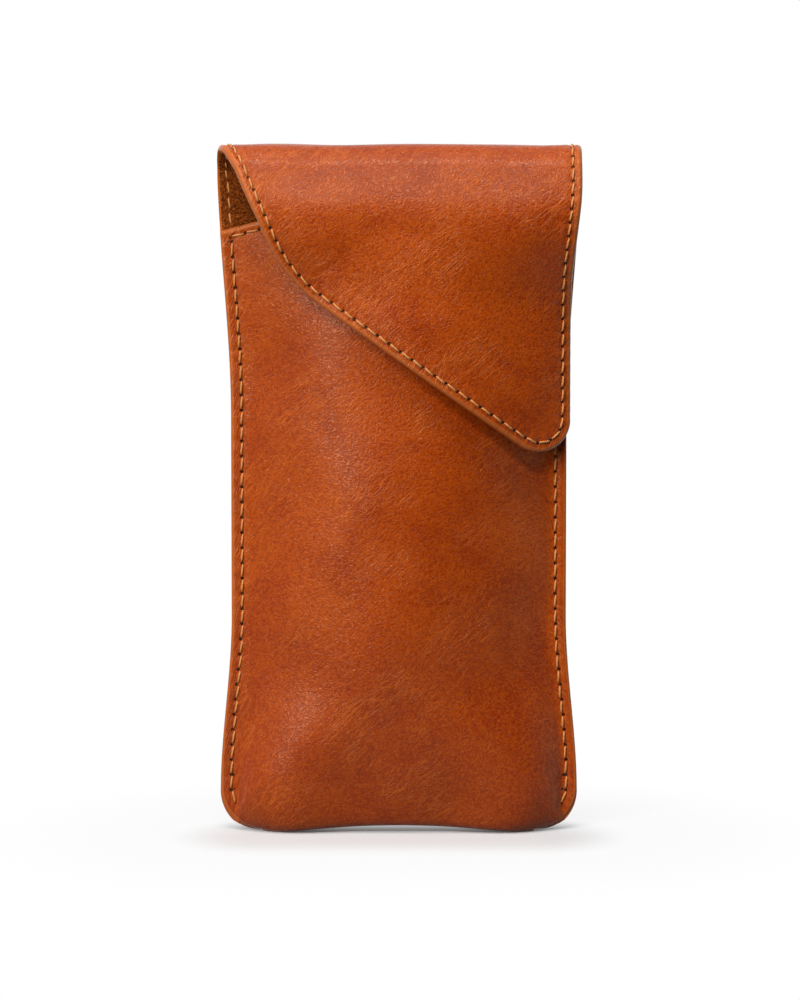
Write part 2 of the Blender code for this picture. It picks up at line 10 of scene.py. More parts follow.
import bpy
import numpy as np
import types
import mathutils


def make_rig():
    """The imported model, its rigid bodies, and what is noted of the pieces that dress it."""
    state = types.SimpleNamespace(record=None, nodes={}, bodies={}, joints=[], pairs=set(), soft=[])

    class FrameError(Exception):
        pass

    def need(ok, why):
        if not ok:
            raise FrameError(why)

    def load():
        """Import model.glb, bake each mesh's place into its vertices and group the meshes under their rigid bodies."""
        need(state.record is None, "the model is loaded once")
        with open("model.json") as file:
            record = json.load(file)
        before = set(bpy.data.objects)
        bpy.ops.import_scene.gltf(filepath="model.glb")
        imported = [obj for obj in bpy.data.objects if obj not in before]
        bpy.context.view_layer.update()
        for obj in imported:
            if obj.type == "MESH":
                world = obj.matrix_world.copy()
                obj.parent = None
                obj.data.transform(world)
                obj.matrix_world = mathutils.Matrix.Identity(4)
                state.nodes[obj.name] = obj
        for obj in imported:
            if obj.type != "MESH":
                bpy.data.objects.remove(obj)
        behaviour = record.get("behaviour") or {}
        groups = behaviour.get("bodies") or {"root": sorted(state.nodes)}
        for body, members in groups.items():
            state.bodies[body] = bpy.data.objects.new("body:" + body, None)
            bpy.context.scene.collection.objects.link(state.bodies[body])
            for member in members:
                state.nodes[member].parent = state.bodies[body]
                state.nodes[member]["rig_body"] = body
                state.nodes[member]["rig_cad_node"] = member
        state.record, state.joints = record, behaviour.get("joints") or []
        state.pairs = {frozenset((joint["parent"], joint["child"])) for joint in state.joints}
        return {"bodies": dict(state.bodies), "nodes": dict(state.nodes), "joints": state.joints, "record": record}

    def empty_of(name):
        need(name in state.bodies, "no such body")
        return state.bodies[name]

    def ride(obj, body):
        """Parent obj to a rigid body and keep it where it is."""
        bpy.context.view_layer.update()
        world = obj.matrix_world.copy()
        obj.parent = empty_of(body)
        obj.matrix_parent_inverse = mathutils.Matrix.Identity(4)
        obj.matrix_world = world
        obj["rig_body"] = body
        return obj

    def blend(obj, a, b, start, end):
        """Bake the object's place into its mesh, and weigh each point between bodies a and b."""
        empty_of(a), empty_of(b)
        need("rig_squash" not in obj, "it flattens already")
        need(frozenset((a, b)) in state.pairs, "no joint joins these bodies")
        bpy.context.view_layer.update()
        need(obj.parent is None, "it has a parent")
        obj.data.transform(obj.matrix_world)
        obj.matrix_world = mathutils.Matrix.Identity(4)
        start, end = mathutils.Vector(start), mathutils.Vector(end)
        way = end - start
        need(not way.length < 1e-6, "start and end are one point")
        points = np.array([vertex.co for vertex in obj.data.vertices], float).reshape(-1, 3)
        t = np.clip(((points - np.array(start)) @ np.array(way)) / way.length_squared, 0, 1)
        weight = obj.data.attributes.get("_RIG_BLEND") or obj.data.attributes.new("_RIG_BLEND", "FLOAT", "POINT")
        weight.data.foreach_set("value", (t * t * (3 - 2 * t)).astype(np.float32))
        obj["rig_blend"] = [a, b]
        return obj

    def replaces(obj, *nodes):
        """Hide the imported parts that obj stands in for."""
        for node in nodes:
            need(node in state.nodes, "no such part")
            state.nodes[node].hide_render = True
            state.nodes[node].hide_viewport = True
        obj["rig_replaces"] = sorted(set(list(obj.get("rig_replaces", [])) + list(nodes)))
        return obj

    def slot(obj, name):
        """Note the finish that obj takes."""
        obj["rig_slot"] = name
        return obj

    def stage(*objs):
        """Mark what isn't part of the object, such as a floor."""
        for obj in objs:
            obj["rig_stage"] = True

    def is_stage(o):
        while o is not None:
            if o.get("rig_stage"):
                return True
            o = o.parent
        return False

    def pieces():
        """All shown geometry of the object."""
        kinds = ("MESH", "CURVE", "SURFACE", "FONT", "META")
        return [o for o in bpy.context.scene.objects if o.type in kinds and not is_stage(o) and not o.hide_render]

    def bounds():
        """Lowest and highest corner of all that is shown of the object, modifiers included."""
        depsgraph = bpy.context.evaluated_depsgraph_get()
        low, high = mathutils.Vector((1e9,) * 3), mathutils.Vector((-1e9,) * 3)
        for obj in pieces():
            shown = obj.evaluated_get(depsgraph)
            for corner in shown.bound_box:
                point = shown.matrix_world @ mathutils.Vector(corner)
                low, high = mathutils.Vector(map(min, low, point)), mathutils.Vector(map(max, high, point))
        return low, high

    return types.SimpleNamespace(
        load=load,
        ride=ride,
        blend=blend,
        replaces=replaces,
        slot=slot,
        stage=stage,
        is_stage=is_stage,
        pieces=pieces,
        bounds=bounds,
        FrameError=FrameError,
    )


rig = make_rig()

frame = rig.load()
box_at_load = [list(corner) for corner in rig.bounds()]

# Leather pouch.
# One panel of pull-up leather, 1.3 mm thick: the front, the base that it is turned under, the
# back, and the first eighth of the bend over the top.  Its cut edges are rounded and burnished.
HEIGHT = 0.165
FOOT_HALF_WIDTH = 0.0430
WAIST_HALF_WIDTH = 0.0402
HEAD_HALF_WIDTH = 0.0435
CORNER_RADIUS = 0.0104
FOOT_TAPER_shares = (0.06, 0.32)
HEAD_TAPER_shares = (0.61, 1.00)
LEATHER = 0.0013
LINING = 0.0007
PLY_AIR = 0.00005
SHEET = LEATHER + PLY_AIR + LINING
SEAM_HALF = 0.002325
BULGES = {"base": 0.0070, "belly": 0.0141, "chest": 0.0125, "mouth": 0.0085}
BELLY_RISE_shares = (-0.06, 0.39)
CHEST_FALL_shares = (0.44, 0.76)
MOUTH_FALL_shares = (0.73, 0.91)
BACK_FLATTEN_shares = (0.84, 0.945)
BOXY_FOOT_shares = (-0.02, 0.26)
FLANGE_WIDTH = 0.0037
LENS_POWERS = (2.0, 1.15)
BOXY_POWERS = (9.0, 1.04)
BOXY_FADE = 1.5
BASE_ROUND = 0.0140
BASE_ROUND_POWER = 8
BASE_ARCH = 0.00225
BASE_ARCH_POWER = 1.9
BASE_SINK = 0.0009
BASE_HOLLOW = 0.0022
HOLLOW_REACH = (0.010, 0.031)
HOLLOW_HEIGHT = 0.026
BASE_FLATNESS = 7.5
BASE_SOFTNESS = 0.2
MOUTH_HEIGHT = 0.1442
MOUTH_ARCH = 0.0070
MOUTH_ARCH_POWER = 2
LEAN_BACK = math.radians(1.6)
BASE_SHIFT = -0.000576
BEND_RADIUS = 0.0085
BEND_START = HEIGHT - BEND_RADIUS
BEND_CENTRE = SEAM_HALF - BEND_RADIUS
BEND_FACETS = 0.028
BLEND_INSET = 0.0006
INNER_BEND_RADIUS = BEND_RADIUS - SHEET - BLEND_INSET
EIGHTHS = 4
EIGHTH = math.pi * BEND_RADIUS / EIGHTHS
BEND_STEP = 0.00055
BEND_END_ROW = 0.015
EDGE_ROUND = 0.0011
SIDE_ROUND = 0.0007
SEAM_MARGIN = 0.0026
SEAM_FOOT = 0.0062
SIDE_PITCH = 0.0037
SLOPE_STEP = 1e-4
EDGE_SLOPE_STEP = 1e-5
SMALLEST = 1e-6
ROW_SAMPLES = 400
HEM_MARGIN = 0.0021
HEM_PITCH = 0.0034
FLAP_MARGIN = 0.0022
FLAP_PITCH = 0.0033
MAGNET_X = 0.0182
MAGNET_Z = 0.1205
POCKET = 0.0011
POCKET_REACH = (0.0048, 0.010)
GROOVE = 0.00028
GROOVE_WIDTH = 0.0008
PUCKER = 0.00010
WAVES_FROM_rims = (2, 10)
CLOSED_TO_rims = (5, 11)
SHARP_ANGLE = math.radians(40)
WAVES = ((31, 0.9, 0.3, 0.13), (43, 1.9, 1.9, 0.12), (22, 0.5, 4.1, 0.07), (17, 2.3, 2.6, 0.05),
         (27, 2.9, 5.2, 0.08))
EDGE_COLUMNS_MM = np.array([0, 0.05, 0.16, 0.32, 0.52, 0.8, 1.2, 1.65, 2.1, 2.6, 3.1, 3.65, 4.3,
                            5.2, 6.3])
INNER_COLUMNS = 34
BASE_ROWS = 18
ROW_STEP = 0.00085
LEATHER_PLY = {"edge_mm": EDGE_COLUMNS_MM, "top": 0.0, "bottom": LEATHER, "round_top": True}


def ease(value, low, high):
    """Smooth step from 0 at low to 1 at high: 3k^2 - 2k^3."""
    k = np.clip((value - low) / (high - low), 0, 1)
    return k * k * (3 - 2 * k)


def ease_height(z, shares):
    """Smooth step over a stretch of the height given as shares of it."""
    return ease(z, shares[0] * HEIGHT, shares[1] * HEIGHT)


def half_width(z, margin=0):
    """Half width at height z: a waist between a wider foot and head, with round corners.

    The corner takes away R - sqrt(R^2 - (R - z)^2).  With a margin it is the outline moved in.
    """
    foot = (FOOT_HALF_WIDTH - WAIST_HALF_WIDTH) * (1 - ease_height(z, FOOT_TAPER_shares))
    head = (HEAD_HALF_WIDTH - WAIST_HALF_WIDTH) * ease_height(z, HEAD_TAPER_shares)
    reach = CORNER_RADIUS - margin
    below = np.clip(CORNER_RADIUS - z, 0, reach)
    return WAIST_HALF_WIDTH + foot + head - CORNER_RADIUS + np.sqrt(reach**2 - below**2)


def skin_depth(x, z, back):
    """Distance of the outer skin from the plane y = 0: flat flanges with a lens between.

    depth = seam + bulge(z) (1 - q^inner)^outer, with q the share of the way to the flange.  The
    two powers go from a lens to a box near the foot, where the middle is hollowed.
    """
    belly = (BULGES["belly"] - BULGES["base"]) * ease_height(z, BELLY_RISE_shares)
    chest = (BULGES["belly"] - BULGES["chest"]) * ease_height(z, CHEST_FALL_shares)
    mouth = (BULGES["chest"] - BULGES["mouth"]) * ease_height(z, MOUTH_FALL_shares)
    flat = np.where(back, ease_height(z, BACK_FLATTEN_shares), 0)
    bulge = (BULGES["base"] + belly - chest - mouth) * (1 - flat)
    lens_width = half_width(np.maximum(z, CORNER_RADIUS)) - FLANGE_WIDTH
    across = np.clip(np.abs(x) / lens_width, 0, 1)
    boxy = (1 - ease_height(z, BOXY_FOOT_shares)) ** BOXY_FADE
    inner = LENS_POWERS[0] + (BOXY_POWERS[0] - LENS_POWERS[0]) * boxy
    outer = LENS_POWERS[1] + (BOXY_POWERS[1] - LENS_POWERS[1]) * boxy
    hollow = (1 - ease(np.abs(x), *HOLLOW_REACH)) * (1 - ease(z, 0, HOLLOW_HEIGHT))
    return SEAM_HALF + bulge * (1 - across**inner) ** outer - BASE_HOLLOW * hollow


def mouth_height(share):
    """Height of the front panel's top edge at a share of its half width: an arch, 1 - s^2."""
    return MOUTH_HEIGHT + MOUTH_ARCH * (1 - np.clip(np.abs(share), 0, 1) ** MOUTH_ARCH_POWER)


def seam_height(turn):
    """Height at which the panel's side edge lies for a turn along the strip."""
    climb = np.clip(np.abs(turn) - 1, 0, 1)
    angle = np.clip(turn, -1, 1) * math.pi / 2
    top = np.where(turn > 0, BEND_START, MOUTH_HEIGHT)
    return SEAM_HALF * (1 - np.cos(angle)) + climb * (top - SEAM_HALF)


def bend_radius(angle):
    """Radius of the bend at an angle, R (1 + F (1 - cos 8a) / 2): rounder at its four hinges."""
    return BEND_RADIUS * (1 + BEND_FACETS * (1 - np.cos(2 * EIGHTHS * angle)) / 2)


def pouch_skin(u, turn):
    """Outer skin at share u of the half width and turn along the strip.

    turn is -2 at the mouth, -1 at the foot of the front, 0 under the base, 1 at the foot of the
    back, 2 where the bend starts, and each 1 above that is an eighth of a circle.  Under the
    base a section across y is y = D sin^(2/a), z = low + R (1 - cos^(2/b)): flat below, soft up.
    """
    edge = np.clip(np.abs(u), 0, 1)
    back = turn > 0
    full = 1 - edge**BASE_ROUND_POWER
    radius = SEAM_HALF + BASE_ROUND * full
    low = BASE_ARCH * (1 - edge**BASE_ARCH_POWER) - BASE_SINK
    foot = low + radius
    climb = np.clip(np.abs(turn) - 1, 0, 1)
    angle = np.clip(turn, -1, 1) * math.pi / 2
    power_y, power_z = 2 / (2 + BASE_FLATNESS * full), 2 / (2 + BASE_SOFTNESS * full)
    top = np.where(back, BEND_START, mouth_height(u))
    z = foot - radius * np.abs(np.cos(angle)) ** power_z + climb * (top - foot)
    x = u * half_width(seam_height(turn))
    wall = climb > 0
    depth = skin_depth(np.where(wall, x, u * half_width(SEAM_HALF)), z, back)
    y = np.where(back, 1, -1) * depth * np.where(wall, 1, np.abs(np.sin(angle)) ** power_y)
    bend = np.clip(turn - 2, 0, None) * math.pi / EIGHTHS
    y = np.where(turn > 2, BEND_CENTRE + bend_radius(bend) * np.cos(bend), y)
    z = np.where(turn > 2, BEND_START + bend_radius(bend) * np.sin(bend), z)
    return np.stack([x, y, z], axis=-1)


def unit(vectors):
    """Vectors scaled to length 1."""
    return vectors / np.linalg.norm(vectors, axis=-1, keepdims=True)


def over_magnet(x, z, reach):
    """1 over the magnets' spot, falling smoothly to 0 between two distances from it."""
    return 1 - ease(np.hypot(x - MAGNET_X, z - MAGNET_Z), *reach)


def below_skin(skin, a, b, step, depth):
    """Points at a depth below a skin, along the cross product of its two slopes."""
    along_a = skin(a + step, b) - skin(a - step, b)
    along_b = skin(a, b + step) - skin(a, b - step)
    return skin(a, b) - unit(np.cross(along_b, along_a)) * depth[..., None]


def stand(points):
    """Lean the upright sleeve back about the X axis and set it on the floor."""
    x, y, z = np.moveaxis(points, -1, 0)
    sine, cosine = math.sin(LEAN_BACK), math.cos(LEAN_BACK)
    leaned = np.stack([x, y * cosine + z * sine + BASE_SHIFT, z * cosine - y * sine], axis=-1)
    leaned[..., 2] = np.maximum(leaned[..., 2], 0)
    return leaned


def edge_depth(rim, radius):
    """Depth of a rounded edge at a share of its rim: a quarter circle, r (1 - sqrt(1 - k^2))."""
    return radius * (1 - np.sqrt(1 - np.clip(1 - rim, 0, 1) ** 2))


def relief(sheet, seam):
    """How far the leather lies below its smooth skin: soft waves, seam groove and puckers.

    sheet is the place on the flat strip in millimetres, and seam holds the number of stitches
    along the nearest row, the distance from that row, and the distance from the cut edge in
    widths of its rounded rim.
    """
    sunk = np.zeros(sheet.shape[:-1])
    for length, way, phase, height in WAVES:
        place = sheet[..., 0] * math.cos(way) + sheet[..., 1] * math.sin(way)
        sunk = sunk + height / 1000 * np.sin(2 * math.pi * place / length + phase)
    sunk = sunk * ease(seam[..., 2], *WAVES_FROM_rims)
    groove = np.exp(-((seam[..., 1] / GROOVE_WIDTH) ** 2))
    pucker = np.cos(2 * math.pi * seam[..., 0])
    beside = np.exp(-(((np.abs(seam[..., 1]) - 2 * GROOVE_WIDTH) / GROOVE_WIDTH) ** 2))
    return sunk + (GROOVE + PUCKER * pucker) * groove + PUCKER / 2 * pucker * beside


def placed(name, held):
    """Object that holds a mesh, a lamp or a camera, put into the scene."""
    piece = bpy.data.objects.new(name, held)
    bpy.context.scene.collection.objects.link(piece)
    return piece


def smooth_piece(name, points, faces):
    """Smooth object on points given in the upright frame."""
    mesh = bpy.data.meshes.new(name)
    mesh.from_pydata(stand(points), [], faces)
    mesh.shade_smooth()
    return placed(name, mesh)


def mark_points(piece, mark, vectors):
    """Write a vector for each point of a piece, as a named attribute for its material."""
    attribute = piece.data.attributes.new(mark, "FLOAT_VECTOR", "POINT")
    attribute.data.foreach_set("vector", vectors.astype(np.float32).ravel())


def shell(name, place, outer, inner, ids, marks):
    """Closed sheet between two depths below a skin, with a wall round its free border.

    place is the skin, a grid of its two coordinates, and a step for its slopes.  ids gives each
    grid point its vertex, so that two points may share one.  marks are named arrays that go
    with the points, written as point attributes.
    """
    outside, inside = below_skin(*place, outer), below_skin(*place, inner)
    quads = np.stack([ids[:-1, :-1], ids[1:, :-1], ids[1:, 1:], ids[:-1, 1:]], axis=-1)
    quads = quads.reshape(-1, 4)
    count = int(ids.max()) + 1
    starts, ends = quads.ravel(), np.roll(quads, -1, axis=1).ravel()
    border = ~np.isin(starts * count + ends, ends * count + starts)
    first, last = starts[border], ends[border]
    walls = np.stack([last, first, first + count, last + count], axis=-1)
    faces = np.concatenate([quads, quads[:, ::-1] + count, walls])
    points = np.zeros((2 * count, 3))
    points[ids.ravel()] = outside.reshape(-1, 3)
    points[ids.ravel() + count] = inside.reshape(-1, 3)
    corners = points[faces]
    crossed = np.cross(corners[:, 1] - corners[:, 0], corners[:, 2] - corners[:, 0])
    crossed += np.cross(corners[:, 2] - corners[:, 0], corners[:, 3] - corners[:, 0])
    if np.sum(corners.mean(axis=1) * crossed) < 0:
        faces = faces[:, ::-1]
    piece = smooth_piece(name, points, faces.tolist())
    for mark, values in marks.items():
        vectors = np.zeros((2 * count, 3))
        vectors[ids.ravel()] = values.reshape(-1, 3)
        vectors[ids.ravel() + count] = values.reshape(-1, 3)
        mark_points(piece, mark, vectors)
    piece.data.set_sharp_from_angle(angle=SHARP_ANGLE)
    return piece


def columns(edge_mm, half, inner_count):
    """Shares of the half width from -1 to 1: given distances from each edge, even between."""
    near = 1 - edge_mm / 1000 / half
    right = np.concatenate([near[:-1], np.linspace(near[-1], 0, inner_count)])
    return np.concatenate([-right, right[-2::-1]])


def spaced(start, end, length, step):
    """Values from start to end, evenly spaced about a step apart over a length."""
    return np.linspace(start, end, max(2, round(length / step) + 1))


def eighth_rows():
    """Shares of an eighth of the bend: even rows, and a narrow one at each end."""
    rows = spaced(0, 1, EIGHTH, BEND_STEP)
    return np.concatenate([rows[:1], [BEND_END_ROW], rows[1:-1], [1 - BEND_END_ROW], rows[-1:]])


def pouch_rows(edge_mm, step, base_count):
    """Turns along the strip: close together at the mouth, even up both walls and the bend."""
    front = MOUTH_HEIGHT + MOUTH_ARCH - BASE_ROUND
    edge = -2 + edge_mm / 1000 / front
    under = ease(np.linspace(0, 1, base_count), 0, 1)
    return np.concatenate([edge[:-1], spaced(edge[-1], -1, front, step)[:-1], under[:-1] - 1,
                           under[:-1], spaced(1, 2, BEND_START, step)[:-1], 2 + eighth_rows()])


def lengths(path):
    """Length along a path up to each of its points."""
    return np.concatenate([[0], np.cumsum(np.linalg.norm(np.diff(path, axis=0), axis=1))])


def along_strip(turns):
    """Length along the middle of the pouch's strip, from the mouth up to each turn."""
    return lengths(pouch_skin(np.zeros_like(turns), turns))


side_levels = np.linspace(SEAM_FOOT, BEND_START, ROW_SAMPLES)
side_length = lengths(np.stack([half_width(side_levels, SEAM_MARGIN), side_levels], axis=-1))
side_counts = side_length / side_length[-1] * round(side_length[-1] / SIDE_PITCH)


def pouch_marks(u, turn):
    """The strip's flat coordinates in mm, and where each point lies from seam, hem and edge."""
    along = along_strip(turn[:, 0])[:, None] + np.zeros_like(u)
    level = seam_height(turn)
    width = half_width(level)
    slope = (half_width(level + EDGE_SLOPE_STEP) - width) / EDGE_SLOPE_STEP
    side_edge = (1 - np.abs(u)) * width / np.sqrt(1 + slope**2)
    skin = pouch_skin(u, turn)
    across = np.abs(skin[..., 0]) - (FOOT_HALF_WIDTH - CORNER_RADIUS)
    below = CORNER_RADIUS - skin[..., 2]
    from_centre = np.hypot(across, below)
    corner = (across > 0) & (below > 0)
    side_edge = np.where(corner, CORNER_RADIUS - from_centre, side_edge)
    row_drop = (CORNER_RADIUS - SEAM_MARGIN) * below / np.maximum(from_centre, SMALLEST)
    height = np.where(corner, CORNER_RADIUS - row_drop, skin[..., 2])
    side = np.interp(height, side_levels, side_counts, left=-1)
    mouth_edge = np.where(turn < 0, mouth_height(u) - skin[..., 2], 1)
    hem = (skin[..., 0] + half_width(MOUTH_HEIGHT, SEAM_MARGIN)) / HEM_PITCH
    in_hem = np.abs(mouth_edge - HEM_MARGIN) < np.abs(side_edge - SEAM_MARGIN)
    side = side + np.clip(turn - 2, 0, 1) * EIGHTH / FLAP_PITCH
    up_wall = np.where(turn > 2, -FLAP_MARGIN, np.abs(skin[..., 1]) - SEAM_HALF - SEAM_MARGIN)
    sewn = np.where(np.abs(turn) > 1, side_edge + up_wall, 1)
    seam = np.stack([np.where(in_hem, hem, side),
                     np.where(in_hem, mouth_edge - HEM_MARGIN, sewn),
                     np.minimum(side_edge / SIDE_ROUND, mouth_edge / EDGE_ROUND)], axis=-1)
    sheet = np.stack([skin[..., 0], along, np.zeros_like(u)], axis=-1) * 1000
    return {"sheet": sheet, "seam": seam}


def pouch_ply(name, step, inner_count, base_count, edge_mm, top, bottom, round_top):
    """One ply of the pouch between two depths below the skin, with its cut edge rounded."""
    u, turn = np.meshgrid(columns(edge_mm, FOOT_HALF_WIDTH, inner_count),
                          pouch_rows(edge_mm, step, base_count))
    marks = pouch_marks(u, turn)
    skin = pouch_skin(u, turn)
    rim = marks["seam"][..., 2]
    outer, inner = np.full(u.shape, top), np.full(u.shape, bottom)
    if round_top:
        outer = outer + edge_depth(rim, SIDE_ROUND) + relief(marks["sheet"], marks["seam"])
    else:
        closed = (np.abs(turn) > 1) & (turn < 2) & (skin[..., 2] < MOUTH_HEIGHT)
        pocket = POCKET * over_magnet(skin[..., 0], skin[..., 2], POCKET_REACH) * (turn < 0)
        outer, inner = outer + pocket, inner + pocket
        inner = inner - edge_depth(rim, SIDE_ROUND / 2) * ~closed
        inner = inner + (SEAM_HALF - SHEET) * (1 - ease(rim, *CLOSED_TO_rims)) * closed
    ids = np.arange(u.size).reshape(u.shape)
    return shell(name, (pouch_skin, u, turn, SLOPE_STEP), outer, inner, ids, marks)


# The hole tone is painted shade in the stitch holes.
LEATHER_TONES = {"deep": (0.285, 0.028, 0.0012), "main": (0.400, 0.056, 0.0026),
                 "pale": (0.62, 0.132, 0.012), "valley": (0.17, 0.015, 0.0010),
                 "hole": (0.020, 0.004, 0.001)}
BURNISHED = (0.50, 0.120, 0.020)
# The foot share is painted shade: how far the clouds go to the deep tone round the base.
TONE_shares = {"foot": 0.6, "patch": 0.45, "ridge": 0.28, "valley": 0.42, "crack": 0.42,
               "pucker": 0.15}
GRAIN_shares = {"curl": 0.55, "pebble": 0.25, "ridge": 0.20}
GRAIN_MM = {"grain": 0.065, "crack": 0.050, "pucker": 0.08, "hole": -0.30}
GRAIN_WAY = math.radians(40)
# Painted shade: the run along the strip, in mm from the mouth, over which the base darkens and clears again.
PAINTED_BASE_SHADE_FROM_MM = (88.0, 130.0)
PAINTED_BASE_SHADE_TO_MM = (185.0, 225.0)
PUCKERS_TO = (0.0006, 0.0030)
HOLE_EDGE = (0.00022, 0.00050)
ROUGHNESS = (0.34, 0.23)
GLOSS = 0.26
GLOSS_TINT = (1.0, 0.91, 0.68, 1)


def set_inputs(tree, made, **inputs):
    """Set or link a node's inputs, by name with _ for a space, or as _0, _1 by place."""
    for name, value in inputs.items():
        socket = made.inputs[int(name[1:]) if name[0] == "_" else name.replace("_", " ")]
        if isinstance(value, bpy.types.NodeSocket):
            tree.links.new(value, socket)
        else:
            socket.default_value = value


def node(tree, kind, settings=None, **inputs):
    """Add a shader node, set its properties, and set or link its inputs."""
    made = tree.nodes.new(kind)
    for name, value in (settings or {}).items():
        setattr(made, name, value)
    set_inputs(tree, made, **inputs)
    return made


def maths(tree, operation, first, second=0.0, third=0.0):
    """Output of a Math node."""
    return node(tree, "ShaderNodeMath", {"operation": operation}, _0=first, _1=second,
                _2=third).outputs[0]


def fade(tree, value, low, high, start=0.0, end=1.0):
    """Value that goes smoothly from start at low to end at high."""
    settings = {"interpolation_type": "SMOOTHSTEP"}
    return node(tree, "ShaderNodeMapRange", settings, Value=value, From_Min=low, From_Max=high,
                To_Min=start, To_Max=end).outputs["Result"]


def blended(tree, share, first, second):
    """Colour mixed from two by a share."""
    first, second = (colour if isinstance(colour, bpy.types.NodeSocket) else (*colour, 1)
                     for colour in (first, second))
    return node(tree, "ShaderNodeMix", {"data_type": "RGBA"}, _0=share, _6=first,
                _7=second).outputs[2]


def turned(tree, place, angle, scale):
    """Place on the sheet turned in its plane and then scaled along its own axes."""
    spun = node(tree, "ShaderNodeMapping", Vector=place, Rotation=(0, 0, angle)).outputs[0]
    return node(tree, "ShaderNodeMapping", Vector=spun, Scale=scale).outputs[0]


def noise(tree, place, scale, detail, distortion=0.0):
    """Noise from 0 to 1 over a place."""
    return node(tree, "ShaderNodeTexNoise", Vector=place, Scale=scale, Detail=detail,
                Distortion=distortion).outputs[0]


def new_material(name):
    """Material with its tree and its Principled shader."""
    material = bpy.data.materials.new(name)
    material.use_nodes = True
    tree = material.node_tree
    return material, tree, tree.nodes["Principled BSDF"]


burnished_edge = bpy.data.node_groups.new("burnished_edge", "ShaderNodeTree")
burnished_edge.interface.new_socket("Colour", in_out="INPUT", socket_type="NodeSocketColor")
for name in ("From Edge", "Solid To", "Gone By", "Share"):
    burnished_edge.interface.new_socket(name, in_out="INPUT", socket_type="NodeSocketFloat")
burnished_edge.interface.new_socket("Colour", in_out="OUTPUT", socket_type="NodeSocketColor")
given = burnished_edge.nodes.new("NodeGroupInput").outputs
rubbed = fade(burnished_edge, given["From Edge"], given["Solid To"], given["Gone By"],
              given["Share"], 0.0)
rubbed = blended(burnished_edge, rubbed, given["Colour"], BURNISHED)
node(burnished_edge, "NodeGroupOutput", Colour=rubbed)


def burnished(tree, colour, from_edge, solid_to, gone_by, share):
    """Colour rubbed light along the cut edge: in full up to one distance, gone by the next."""
    return node(tree, "ShaderNodeGroup", {"node_tree": burnished_edge}, Colour=colour,
                From_Edge=from_edge, Solid_To=solid_to, Gone_By=gone_by, Share=share).outputs[0]


def strip_places(tree):
    """Flat place on the strip in mm, stitch count, and distance from the row and the cut edge."""
    sheet, seam = (node(tree, "ShaderNodeAttribute", {"attribute_name": name}).outputs["Vector"]
                   for name in ("sheet", "seam"))
    return sheet, *node(tree, "ShaderNodeSeparateXYZ", _0=seam).outputs


def lines(tree, level, width):
    """1 where a noise passes 0.5, falling to 0 at a difference of width from it."""
    off = maths(tree, "ABSOLUTE", maths(tree, "SUBTRACT", level, 0.5))
    return fade(tree, off, 0.0, width, 1.0, 0.0)


def creases(tree, place, angle, stretch, scale, width):
    """Thin wandering lines along one way of the sheet, where a stretched noise passes 0.5."""
    place = turned(tree, place, angle, (stretch, 1, 1))
    return lines(tree, noise(tree, place, scale, detail=2.0, distortion=0.25), width)


def mixed_in(tree, tone, mask, kind, colour):
    """Leather's tone with one of its other tones mixed in by a mask and that kind's share."""
    return blended(tree, maths(tree, "MULTIPLY", mask, TONE_shares[kind]), tone,
                   LEATHER_TONES[colour])


leather, tree, shader = new_material("pull_up_leather")
sheet, count, beside, from_edge = strip_places(tree)

# Marbling: clouds and patches, and pale creases in some areas.  Darker towards the base: painted shade where the strip
# turns under.
way = node(tree, "ShaderNodeSeparateXYZ", _0=sheet).outputs["Y"]
# Painted shade: the clouds go to the deep tone round the base, where the strip turns under.
foot = maths(tree, "MULTIPLY", fade(tree, way, *PAINTED_BASE_SHADE_FROM_MM, 0.0, TONE_shares["foot"]),
             fade(tree, way, *PAINTED_BASE_SHADE_TO_MM, 1.0, 0.0))
clouds = fade(tree, noise(tree, sheet, scale=0.042, detail=4.0, distortion=1.0), 0.30, 0.66)
clouds = maths(tree, "MULTIPLY", clouds, maths(tree, "SUBTRACT", 1.0, foot))
patches = fade(tree, noise(tree, sheet, scale=0.16, detail=4.0, distortion=0.6), 0.34, 0.66)
wide = creases(tree, sheet, math.radians(38), stretch=0.13, scale=0.42, width=0.022)
fine = creases(tree, sheet, math.radians(50), stretch=0.20, scale=0.80, width=0.040)
crack_area = fade(tree, noise(tree, sheet, scale=0.055, detail=2.0), 0.44, 0.62)
crack = maths(tree, "MAXIMUM", wide, maths(tree, "MULTIPLY", fine, 0.7))
crack = maths(tree, "MULTIPLY", crack, crack_area)

# Grain: curling ridge lines over pebbles, and slanting puckers beside the seams.
pebbles = node(tree, "ShaderNodeTexVoronoi", {"feature": "F1"}, Vector=sheet, Scale=1.35)
pebbles = fade(tree, pebbles.outputs["Distance"], 0.1, 0.75, 1.0, 0.0)
place = turned(tree, sheet, GRAIN_WAY, (0.68, 1, 1))
ridges = fade(tree, noise(tree, place, scale=1.7, detail=2.0, distortion=0.3), 0.33, 0.67)
place = turned(tree, sheet, GRAIN_WAY, (0.8, 1, 1))
curls = lines(tree, noise(tree, place, scale=1.30, detail=1.5, distortion=0.6), width=0.12)
grain = maths(tree, "MULTIPLY_ADD", ridges, GRAIN_shares["ridge"],
              maths(tree, "MULTIPLY", pebbles, GRAIN_shares["pebble"]))
grain = maths(tree, "MULTIPLY_ADD", curls, GRAIN_shares["curl"], grain)
beside_seam = fade(tree, maths(tree, "ABSOLUTE", beside), *PUCKERS_TO, 1.0, 0.0)
place = turned(tree, sheet, math.radians(62), (0.25, 1, 1))
puckers = fade(tree, noise(tree, place, scale=1.3, detail=2.0, distortion=0.3), 0.35, 0.65)
puckers = maths(tree, "MULTIPLY", puckers, beside_seam)

